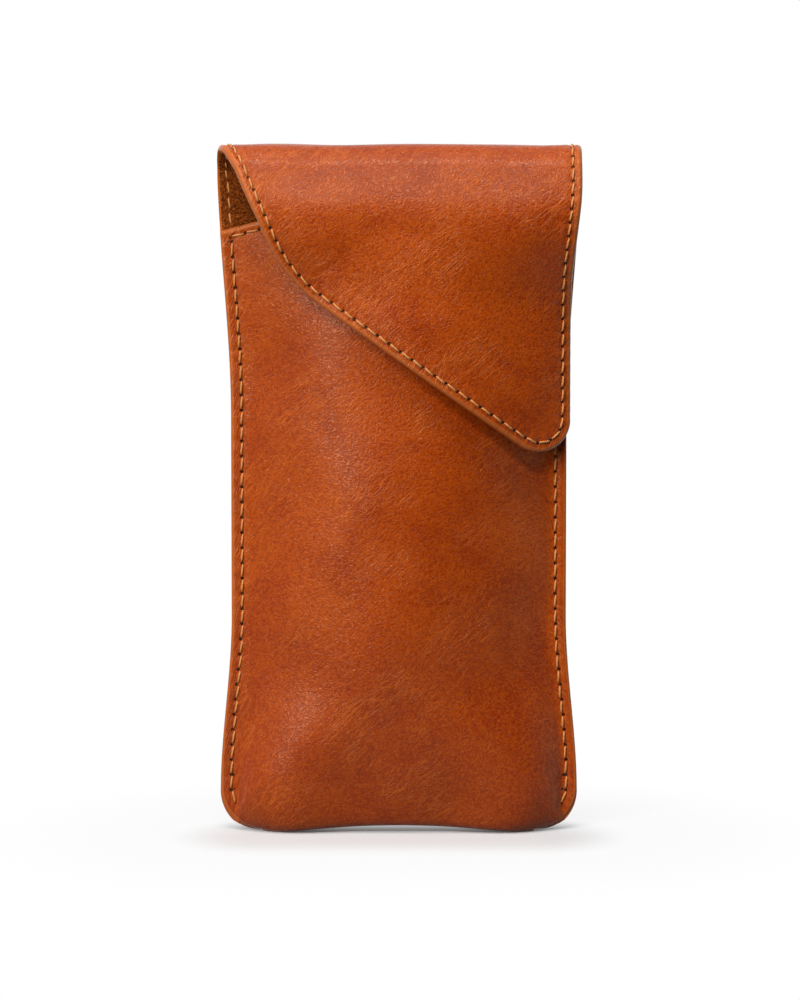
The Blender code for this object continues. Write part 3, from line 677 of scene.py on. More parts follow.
# Stitch holes: dark spots of painted shade where the stitch count is whole and the row is near.
along = maths(tree, "MULTIPLY", maths(tree, "PINGPONG", count, 0.5), SIDE_PITCH)
reach = maths(tree, "SQRT", maths(tree, "ADD", maths(tree, "POWER", along, 2.0),
                                  maths(tree, "POWER", beside, 2.0)))
sewn = fade(tree, count, -0.4, -0.2)
hole = maths(tree, "MULTIPLY", fade(tree, reach, *HOLE_EDGE, 1.0, 0.0), sewn)

tone = blended(tree, clouds, LEATHER_TONES["deep"], LEATHER_TONES["main"])
tone = mixed_in(tree, tone, patches, "patch", "main")
tone = mixed_in(tree, tone, fade(tree, grain, 0.45, 0.88), "ridge", "pale")
tone = mixed_in(tree, tone, fade(tree, grain, 0.06, 0.44, 1.0, 0.0), "valley", "valley")
tone = mixed_in(tree, tone, crack, "crack", "pale")
tone = mixed_in(tree, tone, puckers, "pucker", "pale")
tone = burnished(tree, tone, from_edge, solid_to=0.85, gone_by=1.25, share=0.75)
# Painted shade in the stitch holes.
tone = blended(tree, hole, tone, LEATHER_TONES["hole"])
even = maths(tree, "MULTIPLY", grain, fade(tree, from_edge, 0.8, 1.8, 0.15, 1.0))
height = maths(tree, "MULTIPLY", even, GRAIN_MM["grain"])
for mask, kind in ((crack, "crack"), (puckers, "pucker"), (hole, "hole")):
    height = maths(tree, "MULTIPLY_ADD", mask, GRAIN_MM[kind], height)
bump = node(tree, "ShaderNodeBump", Height=height, Distance=0.001, Strength=1.0)
set_inputs(tree, shader, Base_Color=tone, Roughness=fade(tree, grain, 0.0, 1.0, *ROUGHNESS),
           Specular_IOR_Level=GLOSS, Specular_Tint=GLOSS_TINT, Normal=bump.outputs[0])

pouch = pouch_ply("leather_pouch", ROW_STEP, INNER_COLUMNS, BASE_ROWS, **LEATHER_PLY)
pouch.data.materials.append(leather)


def bend_ends(eighth):
    """Start and end of one eighth of the bend, counted from the back, on its inner face."""
    angle = np.array([eighth, eighth + 1]) * math.pi / EIGHTHS
    y = BEND_CENTRE + INNER_BEND_RADIUS * np.cos(angle)
    z = BEND_START + INNER_BEND_RADIUS * np.sin(angle)
    start, end = stand(np.stack([np.zeros(2), y, z], axis=-1)).tolist()
    return {"start": tuple(start), "end": tuple(end)}


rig.blend(pouch, "sleeve", "fold_back", **bend_ends(0))
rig.replaces(pouch, "body_leather")
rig.slot(pouch, "leather")

# Flap leather and the bend above it.
# The same panel goes on over the top and hangs down the front with a slanted, rounded edge.
# The bend is two narrow pieces between the pouch and the flap, so that it can roll open.
FLAP_DEPTH = 2 * BEND_RADIUS - SEAM_HALF
FLAP_HALF_WIDTH = 0.0413
FLAP_LENGTH = 0.0713
FLAP_NECK_shares = (0.035, 0.32)
FLAP_NECK_RADIUS = 0.080
SHOULDER_RISE = 0.0137
SHOULDER_RADIUS = 0.034
ELBOW_shares = (-0.626, 0.328)
ELBOW_RADIUS = 0.034
TIP_RADIUS = 0.0074
FLAP_CLEARANCE = 0.0014
FLAP_STIFFNESS = 0.84
MAGNET_LIFT = 0.0006
LIFT_REACH = (0.010, 0.030)
FLAP_DRAPE_shares = (0.715, 0.945)
CROWN_TILT = 0.39
CROWN_RUNS = (0.0015, 0.0118, 0.031)
SPINE_END = (0.029, 0.0548)
PATH_STEP = 0.00025
ARC_POINTS = 40
TURN_IN = 0.010
FLAP_SLOPE_STEP = SLOPE_STEP / 4
FLAP_ROWS = 120


def crown(run):
    """How far the stiff fold stands out: it leaves the arc at a tilt, and the tilt fades.

    The tilt is the larger of the arc's own and the crown's, and this is the sum of what it adds.
    """
    steps = np.linspace(-EIGHTH, CROWN_RUNS[2], ROW_SAMPLES)
    angle = np.clip(-steps / BEND_RADIUS, 0, None)
    arc = angle - BEND_FACETS * EIGHTHS * np.sin(2 * EIGHTHS * angle)
    tilt = CROWN_TILT * (1 - ease(steps, *CROWN_RUNS[:2]))
    added = np.cumsum(np.clip(tilt - arc, 0, None)) * (steps[1] - steps[0])
    return np.interp(run, steps, added * (1 - ease(steps, *CROWN_RUNS[1:])))


def flap_skin(x, run):
    """Outer skin at a run down the strip from where the bend ends, negative round the bend."""
    angle = np.clip(-run, 0, None) / BEND_RADIUS
    z = BEND_START - np.clip(run, 0, None)
    lying = skin_depth(x * FLAP_STIFFNESS, z, False) + FLAP_CLEARANCE + SHEET
    lying = lying + MAGNET_LIFT * over_magnet(x, z, LIFT_REACH)
    away = np.clip(FLAP_DEPTH - lying, 0, None)
    y = -lying - away * ease_height(z, FLAP_DRAPE_shares)
    bent = run < 0
    y = np.where(bent, BEND_CENTRE - bend_radius(angle) * np.cos(angle), y) - crown(run)
    z = np.where(bent, BEND_START + bend_radius(angle) * np.sin(angle), z)
    return np.stack([x, y, z], axis=-1)


def at_length(path, marks):
    """Points of a path at given lengths along it."""
    along = lengths(path)
    return np.stack([np.interp(marks, along, path[:, axis]) for axis in range(2)], axis=-1)


def rounded_path(corners, step):
    """Path through (x, run, radius) corners, each rounded by an arc, in even steps.

    An arc starts R tan(turn / 2) before its corner and goes R sin along and R (1 - cos) across.
    """
    points = [np.array([corners[0][:2]])]
    for before, corner, after in zip(corners, corners[1:], corners[2:]):
        here, radius = np.array(corner[:2]), corner[2]
        way_in = unit(here - np.array(before[:2]))
        way_out = unit(np.array(after[:2]) - here)
        turn = math.atan2(way_in[0] * way_out[1] - way_in[1] * way_out[0], way_in @ way_out)
        start = here - way_in * radius * math.tan(abs(turn) / 2)
        swing = np.linspace(0, turn, ARC_POINTS)[:, None]
        across = np.array([-way_in[1], way_in[0]])
        arc = np.sin(swing) * way_in + (1 - np.cos(swing)) * across
        points.append(start + math.copysign(radius, turn) * arc)
    path = np.concatenate([*points, [corners[-1][:2]]])
    total = lengths(path)[-1]
    return at_length(path, np.linspace(0, total, round(total / step) + 1))


def inward(path):
    """Unit vector at each point of the flap's edge, across it and into the sheet."""
    way = unit(np.gradient(path, axis=0))
    return np.stack([way[:, 1], -way[:, 0]], axis=-1)


TOP_HALF_WIDTH = float(half_width(BEND_START))
outline = rounded_path([
    (-TOP_HALF_WIDTH, -EIGHTHS * EIGHTH, 0),
    (-TOP_HALF_WIDTH, -SHOULDER_RISE, SHOULDER_RADIUS),
    (ELBOW_shares[0] * TOP_HALF_WIDTH, ELBOW_shares[1] * FLAP_LENGTH, ELBOW_RADIUS),
    (FLAP_HALF_WIDTH, FLAP_LENGTH, TIP_RADIUS),
    (FLAP_HALF_WIDTH, FLAP_NECK_shares[1] * FLAP_LENGTH, FLAP_NECK_RADIUS),
    (TOP_HALF_WIDTH, FLAP_NECK_shares[0] * FLAP_LENGTH, FLAP_NECK_RADIUS),
    (TOP_HALF_WIDTH, -EIGHTHS * EIGHTH, 0),
], PATH_STEP)
flap_row = outline + inward(outline) * FLAP_MARGIN
row_length = lengths(flap_row)
stitch_count = round(row_length[-1] / FLAP_PITCH)
row_count = row_length / row_length[-1] * stitch_count
lowest = int(np.argmax(outline[:, 1]))
pouch_turns = pouch_rows(EDGE_COLUMNS_MM, ROW_STEP, BASE_ROWS)
bend_end = along_strip(pouch_turns)[-1] + (EIGHTHS - 1) * EIGHTH


def flap_marks(x, run, count, edge):
    """Flat coordinates and seam distances of points on the bend or the flap."""
    seam = np.stack([count, edge - FLAP_MARGIN, edge / EDGE_ROUND], axis=-1)
    sheet = np.stack([x, bend_end + run, np.zeros_like(x)], axis=-1) * 1000
    return {"sheet": sheet, "seam": seam}


def edge_count(points):
    """Number of stitches up to the places of the outline nearest to some of its own points."""
    gaps = np.linalg.norm(points[:, None, :] - outline[None, :, :], axis=2)
    return row_count[np.argmin(gaps, axis=1)]


def flap_grid(edge_mm, rows, inner_count):
    """Grid over the flap: rows run from its edge to a spine line, round the tip and back."""
    halves = []
    for part in (outline[:lowest + 1], outline[lowest:][::-1]):
        part = part[part[:, 1] > -EIGHTH]
        even = at_length(part, np.linspace(0, lengths(part)[-1], rows))
        even[0, 1] = -EIGHTH
        halves.append(even)
    edge = np.concatenate([halves[0], halves[1][-2::-1]])
    normal = inward(edge)
    start = ease(edge[:, 1] + EIGHTH, 0, TURN_IN)[:, None]
    level = np.stack([np.sign(-edge[:, 0]), np.zeros(len(edge))], axis=-1)
    way = unit(level * (1 - start) + normal * start)
    reach = 1 / np.sum(way * normal, axis=1)
    near = edge_mm / 1000
    strip = edge[:, None, :] + (way * reach[:, None])[:, None, :] * near[None, :, None]
    share = np.concatenate([np.linspace(0, 1, rows), np.linspace(1, 0, rows)[1:]])
    spine = np.array([0, -EIGHTH]) + share[:, None] * (np.array(SPINE_END) + (0, EIGHTH))
    inner = np.linspace(0, 1, inner_count)[1:, None]
    across = strip[:, -1:, :] * (1 - inner) + spine[:, None, :] * inner
    grid = np.concatenate([strip, across], axis=1)
    gap = np.linalg.norm(across - strip[:, -1:, :], axis=2) + near[-1]
    away = np.concatenate([np.broadcast_to(near, strip.shape[:2]), gap], axis=1)
    ids = np.arange(grid.shape[0] * grid.shape[1]).reshape(grid.shape[:2])
    ids[rows:, -1] = ids[rows - 2::-1, -1]
    ids = np.unique(ids, return_inverse=True)[1].reshape(grid.shape[:2])
    return grid, ids, away, np.broadcast_to(edge_count(edge)[:, None], away.shape)


def strip_shell(name, x, run, ids, counts, away, top, bottom, round_top):
    """Shell of one ply over a grid of flat places, with its cut edge rounded."""
    marks = flap_marks(x, run, counts, away)
    outer, inner = np.full(away.shape, top), np.full(away.shape, bottom)
    rim = marks["seam"][..., 2]
    if round_top:
        outer = outer + edge_depth(rim, EDGE_ROUND) + relief(marks["sheet"], marks["seam"])
    else:
        pocket = POCKET * over_magnet(x, BEND_START - run, POCKET_REACH)
        outer, inner = outer + pocket, inner + pocket - edge_depth(2 * rim, EDGE_ROUND / 2)
    return shell(name, (flap_skin, x, run, FLAP_SLOPE_STEP), outer, inner, ids, marks)


def flap_ply(name, rows, inner_count, edge_mm, **depths):
    """One ply of the flap between two depths below its skin."""
    grid, ids, away, counts = flap_grid(edge_mm, rows, inner_count)
    x, run = np.moveaxis(grid, -1, 0)
    return strip_shell(name, x, run, ids, counts, away, **depths)


def bend_ply(name, eighth, inner_count, edge_mm, **depths):
    """One ply of one eighth of the bend, counted from the back."""
    runs = (eighth_rows() - EIGHTHS + eighth) * EIGHTH
    sides = np.arange(lowest + 1), np.arange(len(outline) - 1, lowest - 1, -1)
    left, right = (np.interp(runs, outline[side, 1], outline[side, 0]) for side in sides)
    count_left, count_right = (np.interp(runs, outline[side, 1], row_count[side])[:, None]
                               for side in sides)
    half, middle = (right - left) / 2, (right + left) / 2
    share = columns(edge_mm, float(half.min()), inner_count)
    x = middle[:, None] + half[:, None] * share[None, :]
    run = runs[:, None] + np.zeros_like(x)
    lean = np.gradient(left, runs)[:, None]
    away = np.where(share < 0, (x - left[:, None]) / np.sqrt(1 + lean**2), right[:, None] - x)
    counts = np.where(share < 0, count_left, count_right)
    ids = np.arange(x.size).reshape(x.shape)
    return strip_shell(name, x, run, ids, counts, away, **depths)


bend_pieces = (("fold_back", "fold_top", 1), ("fold_top", "fold_front", 2))
for upper, lower, eighth in bend_pieces:
    bend = bend_ply(f"leather_bend_{eighth}", eighth, INNER_COLUMNS, **LEATHER_PLY)
    bend.data.materials.append(leather)
    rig.blend(bend, upper, lower, **bend_ends(eighth))
    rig.replaces(bend, f"{upper}_leather")
    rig.slot(bend, "leather")

flap = flap_ply("leather_flap", FLAP_ROWS, INNER_COLUMNS, **LEATHER_PLY)
flap.data.materials.append(leather)
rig.blend(flap, "fold_front", "flap", **bend_ends(3))
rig.replaces(flap, "fold_front_leather", "flap_leather")
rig.slot(flap, "leather")

# Suede lining.
# Thin split suede glued to the whole inner face of the leather and cut flush with its edge.
SUEDE_TOP = LEATHER + PLY_AIR
SUEDE_COLUMNS_MM = np.array([0, 0.08, 0.2, 0.4, 0.8, 1.6, 2.6, 4.2, 6.3, 8.4])
SUEDE_PLY = {"edge_mm": SUEDE_COLUMNS_MM, "top": SUEDE_TOP, "bottom": SHEET, "round_top": False}
SUEDE_INNER_COLUMNS = 20
SUEDE_BASE_ROWS = 14
SUEDE_STEP = 0.0018
SUEDE_FLAP_ROWS = 80
SUEDE_FLAP_COLUMNS = 18
SUEDE_TONES = {"dark": (0.16, 0.031, 0.003), "main": (0.29, 0.062, 0.008),
               "gap": (0.040, 0.008, 0.001), "tip": (0.48, 0.125, 0.018)}
SHEEN_TINT = (0.8, 0.35, 0.11, 1)

suede, tree, shader = new_material("suede_lining")
sheet, _, _, from_edge = strip_places(tree)
nap = noise(tree, sheet, scale=0.30, detail=3.0, distortion=0.6)
fibre = fade(tree, noise(tree, sheet, scale=1.8, detail=4.0, distortion=0.8), 0.30, 0.70)
tone = blended(tree, nap, SUEDE_TONES["dark"], SUEDE_TONES["main"])
tone = blended(tree, fade(tree, fibre, 0.0, 0.6, 0.8, 0.0), tone, SUEDE_TONES["gap"])
tone = blended(tree, fade(tree, fibre, 0.5, 1.0, 0.0, 0.5), tone, SUEDE_TONES["tip"])
tone = burnished(tree, tone, from_edge, solid_to=0.65, gone_by=0.90, share=0.90)
bump = node(tree, "ShaderNodeBump", Height=fibre, Distance=0.0002, Strength=0.8)
set_inputs(tree, shader, Base_Color=tone, Roughness=0.95, Specular_IOR_Level=0.05,
           Sheen_Weight=0.06, Sheen_Roughness=0.5, Sheen_Tint=SHEEN_TINT,
           Normal=bump.outputs[0])

lining = pouch_ply("suede_pouch", SUEDE_STEP, SUEDE_INNER_COLUMNS, SUEDE_BASE_ROWS, **SUEDE_PLY)
lining.data.materials.append(suede)
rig.blend(lining, "sleeve", "fold_back", **bend_ends(0))
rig.replaces(lining, "body_lining")
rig.slot(lining, "suede_lining")
for upper, lower, eighth in bend_pieces:
    lining = bend_ply(f"suede_bend_{eighth}", eighth, SUEDE_INNER_COLUMNS, **SUEDE_PLY)
    lining.data.materials.append(suede)
    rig.blend(lining, upper, lower, **bend_ends(eighth))
    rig.replaces(lining, f"{upper}_lining")
    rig.slot(lining, "suede_lining")
lining = flap_ply("suede_flap", SUEDE_FLAP_ROWS, SUEDE_FLAP_COLUMNS, **SUEDE_PLY)
lining.data.materials.append(suede)
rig.blend(lining, "fold_front", "flap", **bend_ends(3))
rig.replaces(lining, "fold_front_lining", "flap_lining")
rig.slot(lining, "suede_lining")

# Stitches.
# Pale waxed thread through both walls at the sides, round the flap and along the mouth.  Each
# stitch dives into a hole at both ends, and shows on both faces of what it holds.
THREAD_RADIUS = 0.00026
THREAD_SUNK = 0.00045
THREAD_RISE = 0.00002
STITCH_REACH_share = 0.86
STITCH_SLANT = 0.00016
STITCH_SECTIONS = np.linspace(-1, 1, 7)
STITCH_SIDES = 6
ARCH_POWER = 0.6
THIN_END_share = 0.45
TWIST_ALONG = 1.6
TWIST_AROUND = 5.07
THREAD_TONES = {"groove": (0.46, 0.140, 0.024), "strand": (0.84, 0.38, 0.105)}

thread, tree, shader = new_material("waxed_thread")
twist = node(tree, "ShaderNodeAttribute", {"attribute_name": "twist"}).outputs["Vector"]
strand = node(tree, "ShaderNodeTexWave", {"bands_direction": "DIAGONAL"}, Vector=twist,
              Scale=0.62, Distortion=0.6).outputs[0]
tone = blended(tree, strand, THREAD_TONES["groove"], THREAD_TONES["strand"])
bump = node(tree, "ShaderNodeBump", Height=strand, Distance=0.0001, Strength=0.6)
set_inputs(tree, shader, Base_Color=tone, Roughness=0.6, Normal=bump.outputs[0])


def front_wall(x, drop):
    """Skin of the front panel at x and at a height of minus drop."""
    return np.stack([x, -skin_depth(x, -drop, False), -drop], axis=-1)


def back_wall(x, z):
    """Skin of the back panel at x and height z."""
    return np.stack([x, skin_depth(x, z, True), z], axis=-1)


def row_of_stitches(holes, skin, inner):
    """Tubes from hole to hole over a skin, high in the middle and sunk at both ends.

    Section t from -1 to 1 stands (1 - t^2)^(p/2) of the way up, and is as much thicker.
    """
    arch = (1 - STITCH_SECTIONS**2) ** (ARCH_POWER / 2)
    way = np.diff(holes, axis=0)
    across = unit(np.stack([-way[:, 1], way[:, 0]], axis=-1))
    share = 0.5 + 0.5 * STITCH_REACH_share * STITCH_SECTIONS
    plan = holes[:-1, None, :] + way[:, None, :] * share[None, :, None]
    plan = plan + across[:, None, :] * (STITCH_SLANT * STITCH_SECTIONS)[None, :, None]
    lift = (THREAD_RISE + THREAD_SUNK) * arch - THREAD_SUNK + np.zeros(plan.shape[:2])
    depth = SHEET + lift if inner else -lift
    place = skin, plan[..., 0], plan[..., 1], FLAP_SLOPE_STEP
    centre, above = below_skin(*place, depth), below_skin(*place, depth - THREAD_RADIUS)
    normal = unit(above - centre)[:, :, None, :] * (-1 if inner else 1)
    side = unit(np.cross(np.gradient(centre, axis=1)[:, :, None, :], normal))
    radius = THREAD_RADIUS * (THIN_END_share + (1 - THIN_END_share) * arch)
    angle = ((np.arange(STITCH_SIDES) + 0.5) / STITCH_SIDES * 2 * math.pi - math.pi)[:, None]
    ring = np.cos(angle) * normal + np.sin(angle) * side
    return centre[:, :, None, :] + radius[None, :, None, None] * ring


def both_faces(holes, skin):
    """The same row of stitches on the leather and on the lining."""
    return [row_of_stitches(holes, skin, inner) for inner in (False, True)]


def sew(name, rows):
    """One piece of thread from several rows of stitches, each a closed tube of six sides."""
    tubes = np.concatenate(rows)
    number, sections, sides, _ = tubes.shape
    ids = np.arange(number * sections * sides).reshape(number, sections, sides)
    around = np.roll(ids, -1, axis=2)
    quads = np.stack([ids[:, :-1], around[:, :-1], around[:, 1:], ids[:, 1:]], axis=-1)
    faces = [*quads.reshape(-1, 4).tolist(), *ids[:, 0, ::-1].tolist(), *ids[:, -1].tolist()]
    piece = smooth_piece(name, tubes.reshape(-1, 3), faces)
    along, around = np.broadcast_arrays(STITCH_SECTIONS[:, None] * TWIST_ALONG,
                                        np.arange(sides) / sides * TWIST_AROUND)
    twist = np.stack([along, around, np.zeros_like(along)], axis=-1)
    mark_points(piece, "twist", np.broadcast_to(twist, (number, *twist.shape)))
    piece.data.materials.append(thread)
    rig.slot(piece, "thread")
    return piece


flap_holes = np.stack([np.interp(np.arange(stitch_count + 1), row_count, flap_row[:, axis])
                       for axis in range(2)], axis=-1)


def bend_rows(eighth, right):
    """Stitches of the flap's row on one side whose middle lies in one eighth of the bend."""
    low, high = (eighth - EIGHTHS) * EIGHTH, (eighth + 1 - EIGHTHS) * EIGHTH
    middle = (flap_holes[1:] + flap_holes[:-1]) / 2
    chosen = np.flatnonzero((middle[:, 1] > low) & (middle[:, 1] <= high)
                            & ((middle[:, 0] > 0) == right))
    return both_faces(flap_holes[chosen[0]:chosen[-1] + 2], flap_skin)


def side_row(right, low, high, way=1):
    """Holes of a side seam between two heights, with heights turned over where way is -1."""
    z = np.interp(np.arange(round(side_counts[-1]) + 1), side_counts, side_levels)
    z = z[(z >= low) & (z <= high)]
    x = half_width(z, SEAM_MARGIN) * (1 if right else -1)
    return np.stack([x, way * z], axis=-1)


def bend_thread_nodes(body):
    """Names of the four rows of thread that the solids have in a piece of the bend."""
    return [f"{body}_thread_{face}_{side}" for face in ("outer", "inner")
            for side in ("left", "right")]


for right, side in ((False, "left"), (True, "right")):
    rows = [row_of_stitches(side_row(right, 0, MOUTH_HEIGHT, -1), front_wall, False),
            row_of_stitches(side_row(right, 0, BEND_START), back_wall, False),
            row_of_stitches(side_row(right, MOUTH_HEIGHT, BEND_START), back_wall, True)]
    seam_thread = sew(f"thread_side_{side}", rows + bend_rows(0, right))
    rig.blend(seam_thread, "sleeve", "fold_back", **bend_ends(0))
    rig.replaces(seam_thread, f"side_thread_front_{side}", f"side_thread_back_{side}",
                f"upper_thread_inner_{side}")

for upper, lower, eighth in bend_pieces:
    bend_thread = sew(f"thread_bend_{eighth}", bend_rows(eighth, False) + bend_rows(eighth, True))
    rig.blend(bend_thread, upper, lower, **bend_ends(eighth))
    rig.replaces(bend_thread, *bend_thread_nodes(upper))

on_flap = np.flatnonzero(flap_holes[1:, 1] + flap_holes[:-1, 1] > -2 * EIGHTH)
on_flap = flap_holes[on_flap[0]:on_flap[-1] + 2]
flap_thread = sew("thread_flap", both_faces(on_flap, flap_skin))
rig.blend(flap_thread, "fold_front", "flap", **bend_ends(3))
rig.replaces(flap_thread, "flap_thread_outer", "flap_thread_inner",
            *bend_thread_nodes("fold_front"))

hem_end = half_width(MOUTH_HEIGHT, SEAM_MARGIN)
hem_x = -hem_end + np.arange(int(2 * hem_end / HEM_PITCH) + 1) * HEM_PITCH
hem_row = np.stack([hem_x, HEM_MARGIN - mouth_height(hem_x / half_width(MOUTH_HEIGHT))], axis=-1)
hem_thread = sew("thread_mouth", both_faces(hem_row, front_wall))
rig.ride(hem_thread, "sleeve")
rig.replaces(hem_thread, "mouth_thread_outer", "mouth_thread_inner")

# Magnets.
# Two thin nickel-plated discs that hold the flap shut.  They are turned from bar, and each is
# hidden in a pocket between leather and lining.
DISC_PROFILE = np.array([(0, 0.5), (3.75, 0.5), (3.93, 0.43), (4.0, 0.25), (4.0, -0.25),
                         (3.93, -0.43), (3.75, -0.5), (0, -0.5)]) / 1000
DISC_SIDES = 48
DISC_DEPTH = 0.0019
NICKEL_TONES = {"dull": (0.50, 0.50, 0.51), "bright": (0.68, 0.67, 0.65)}

magnet_metal, tree, shader = new_material("nickel_plate")
place = node(tree, "ShaderNodeTexCoord").outputs["Object"]
brushed = noise(tree, place, scale=900.0, detail=3.0)
tone = blended(tree, brushed, NICKEL_TONES["dull"], NICKEL_TONES["bright"])
set_inputs(tree, shader, Base_Color=tone, Metallic=1.0,
           Roughness=fade(tree, brushed, 0.2, 0.8, 0.22, 0.38))


def disc(name, skin, x, along, body, replaced):
    """Flat disc with eased edges under a skin: its profile turned about the skin's normal."""
    depths = np.array([DISC_DEPTH, 0])
    centre, above = below_skin(skin, np.full(2, x), np.full(2, along), FLAP_SLOPE_STEP, depths)
    normal = unit(above - centre)
    across = unit(np.cross(normal, (0, 0, 1)))
    up = np.cross(across, normal)
    angle = np.arange(DISC_SIDES) / DISC_SIDES * 2 * math.pi
    spoke = np.cos(angle)[:, None] * across + np.sin(angle)[:, None] * up
    inner = DISC_PROFILE[1:-1]
    rings = centre + inner[:, None, :1] * spoke[None] + inner[:, None, 1:] * normal
    ends = centre + DISC_PROFILE[[0, -1], 1:] * normal
    ids = np.arange(len(inner) * DISC_SIDES).reshape(len(inner), DISC_SIDES)
    around = np.roll(ids, -1, axis=1)
    quads = np.stack([ids[:-1], ids[1:], around[1:], around[:-1]], axis=-1).reshape(-1, 4)
    top, bottom = ids.size, ids.size + 1
    fans = [[top, a, b] for a, b in zip(ids[0], around[0])]
    fans += [[bottom, b, a] for a, b in zip(ids[-1], around[-1])]
    points = np.concatenate([rings.reshape(-1, 3), ends])
    piece = smooth_piece(name, points, [*quads.tolist(), *fans])
    piece.data.set_sharp_from_angle(angle=SHARP_ANGLE)
    piece.data.materials.append(magnet_metal)
    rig.ride(piece, body)
    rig.replaces(piece, replaced)
    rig.slot(piece, "magnet")


disc("disc_front", front_wall, MAGNET_X, -MAGNET_Z, "sleeve", "front_magnet")
disc("disc_flap", flap_skin, MAGNET_X, BEND_START - MAGNET_Z, "flap", "flap_magnet")

# Light, floor and camera.
# A pale floor that runs out to white, a dark room in front of it, and three soft lamps: a tall
# strip at the left, a wide one in front and above, and one overhead.  Near the foot and in front of
# it the floor doesn't glow and stays grey: painted shadow over the real one.  The camera is that of
# the photograph: straight on from a little above, with a long lens.
CAMERA_DISTANCE = 1.1
CAMERA_RISE = math.radians(7)
LOOK_AT = (0.0003, 0, 0.0799)
FRAME_HEIGHT = 0.240
SENSOR_MM = 24
PAPER_CORNERS = ((-2.5, -0.16), (2.5, -0.16), (2.5, 3), (-2.5, 3))
ROOM_WALL = -1.6
ROOM_HALF_WIDTH = 3
ROOM_HEIGHT = 3
ROOM_TONE = (0.02, 0.02, 0.02, 1)
# Painted shadow: the floor's glow fades in between these distances from a spot forward of the foot, leaving it grey
# near the object.
PAINTED_SHADOW_HALF_WIDTH = 0.033
PAINTED_SHADOW_FORWARD = 0.012
PAINTED_SHADOW_FADE = (0.004, 0.024)
WHITE_NEAR = 0.88
WHITE_TO = 0.080
FLOOR_SEEN = 0.72
FLOOR_BOUNCE = 0.13
SKY = 0.12
LAMPS = (("strip", (-0.69, -0.82, 0.48), (0.16, 0.75), 9.0),
         ("key", (-0.16, -0.84, 0.88), (0.80, 0.22), 6.5),
         ("top", (-0.05, -0.32, 1.15), (0.50, 0.30), 6.0))
LAMP_AIM = (0, 0, 0.08)


def stage_piece(name, corners, faces):
    """Flat piece of the studio, which isn't part of the object."""
    mesh = bpy.data.meshes.new(name)
    mesh.from_pydata(corners, [], faces)
    piece = placed(name, mesh)
    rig.stage(piece)
    return piece


def matt(name):
    """Material without gloss, with its tree and its Principled shader."""
    material, tree, shader = new_material(name)
    set_inputs(tree, shader, Roughness=1.0, Specular_IOR_Level=0.0)
    return material, tree, shader


def looking_rays(tree):
    """1 for rays that look at the studio: from the camera, in a gloss or through glass."""
    path = node(tree, "ShaderNodeLightPath").outputs
    seen = maths(tree, "MAXIMUM", path["Is Camera Ray"], path["Is Glossy Ray"])
    return maths(tree, "MAXIMUM", seen, path["Is Transmission Ray"])


floor = stage_piece("floor", [(x, y, 0) for x, y in PAPER_CORNERS], [(0, 1, 2, 3)])
paper, tree, shader = matt("white_floor")
seen = looking_rays(tree)
tone = blended(tree, seen, (FLOOR_BOUNCE,) * 3, (FLOOR_SEEN,) * 3)
set_inputs(tree, shader, Base_Color=tone)
place = node(tree, "ShaderNodeTexCoord").outputs["Object"]
across, deep, _ = node(tree, "ShaderNodeSeparateXYZ", _0=place).outputs
# Painted shadow: the glow grows with distance from a spot forward of the foot, so the floor stays grey near it; the
# lamps' real shadow is kept.
beyond = maths(tree, "SUBTRACT", maths(tree, "ABSOLUTE", across), PAINTED_SHADOW_HALF_WIDTH)
beyond = maths(tree, "MAXIMUM", beyond, 0.0)
away = node(tree, "ShaderNodeCombineXYZ", X=beyond,
            Y=maths(tree, "ADD", deep, PAINTED_SHADOW_FORWARD)).outputs[0]
away = node(tree, "ShaderNodeVectorMath", {"operation": "LENGTH"}, _0=away).outputs["Value"]
share = maths(tree, "ADD", fade(tree, away, *PAINTED_SHADOW_FADE, 0.0, WHITE_NEAR),
              fade(tree, away, PAINTED_SHADOW_FADE[1], WHITE_TO, 0.0, 1 - WHITE_NEAR))
share = maths(tree, "MULTIPLY", share, seen)
glow = node(tree, "ShaderNodeEmission", Color=(1, 1, 1, 1), Strength=1.0)
mixed = node(tree, "ShaderNodeMixShader", _0=share, _1=shader.outputs[0], _2=glow.outputs[0])
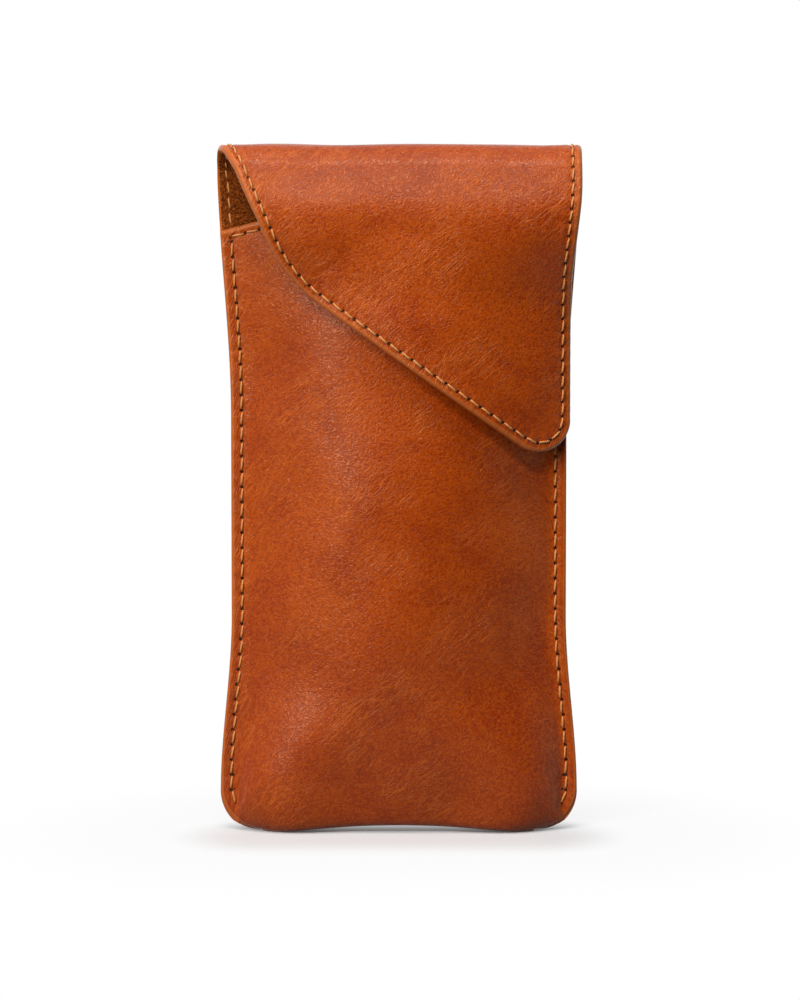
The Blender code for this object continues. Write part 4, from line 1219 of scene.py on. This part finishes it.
set_inputs(tree, tree.nodes["Material Output"], Surface=mixed.outputs[0])
floor.data.materials.append(paper)

near, far = PAPER_CORNERS[0][1], ROOM_WALL
left, right = -ROOM_HALF_WIDTH, ROOM_HALF_WIDTH
room = stage_piece("dark_room", [(left, near, 0), (right, near, 0), (right, far, 0),
                                 (left, far, 0), (right, far, ROOM_HEIGHT),
                                 (left, far, ROOM_HEIGHT)], [(0, 1, 2, 3), (3, 2, 4, 5)])
dark, tree, shader = matt("dark_room")
set_inputs(tree, shader, Base_Color=ROOM_TONE)
room.data.materials.append(dark)
room.visible_camera = False

world = bpy.data.worlds.new("studio")
bpy.context.scene.world = world
world.use_nodes = True
tree = world.node_tree
strength = fade(tree, looking_rays(tree), 0.0, 1.0, SKY, 1.0)
set_inputs(tree, tree.nodes["Background"], Color=(1, 1, 1, 1), Strength=strength)

for name, place, size, power in LAMPS:
    lamp_data = bpy.data.lights.new(name, "AREA")
    lamp_data.shape = "RECTANGLE"
    lamp_data.size, lamp_data.size_y = size
    lamp_data.energy = power
    lamp = placed(name, lamp_data)
    lamp.location = place
    aim = np.array(LAMP_AIM) - np.array(place)
    lamp.rotation_euler = (math.atan2(math.hypot(aim[0], aim[1]), -aim[2]), 0,
                           math.atan2(aim[1], aim[0]) - math.pi / 2)

camera_data = bpy.data.cameras.new("camera")
camera_data.sensor_fit = "VERTICAL"
camera_data.sensor_height = SENSOR_MM
camera_data.lens = SENSOR_MM * CAMERA_DISTANCE / FRAME_HEIGHT
camera = placed("camera", camera_data)
camera.location = (LOOK_AT[0], LOOK_AT[1] - CAMERA_DISTANCE * math.cos(CAMERA_RISE),
                   LOOK_AT[2] + CAMERA_DISTANCE * math.sin(CAMERA_RISE))
camera.rotation_euler = (math.pi / 2 - CAMERA_RISE, 0, 0)
bpy.context.scene.camera = camera
bpy.context.scene.view_settings.view_transform = "Standard"

box_at_finish = [list(corner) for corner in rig.bounds()]
with open("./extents.json", "w") as size_file:
    json.dump({"at_load": box_at_load, "at_finish": box_at_finish}, size_file)
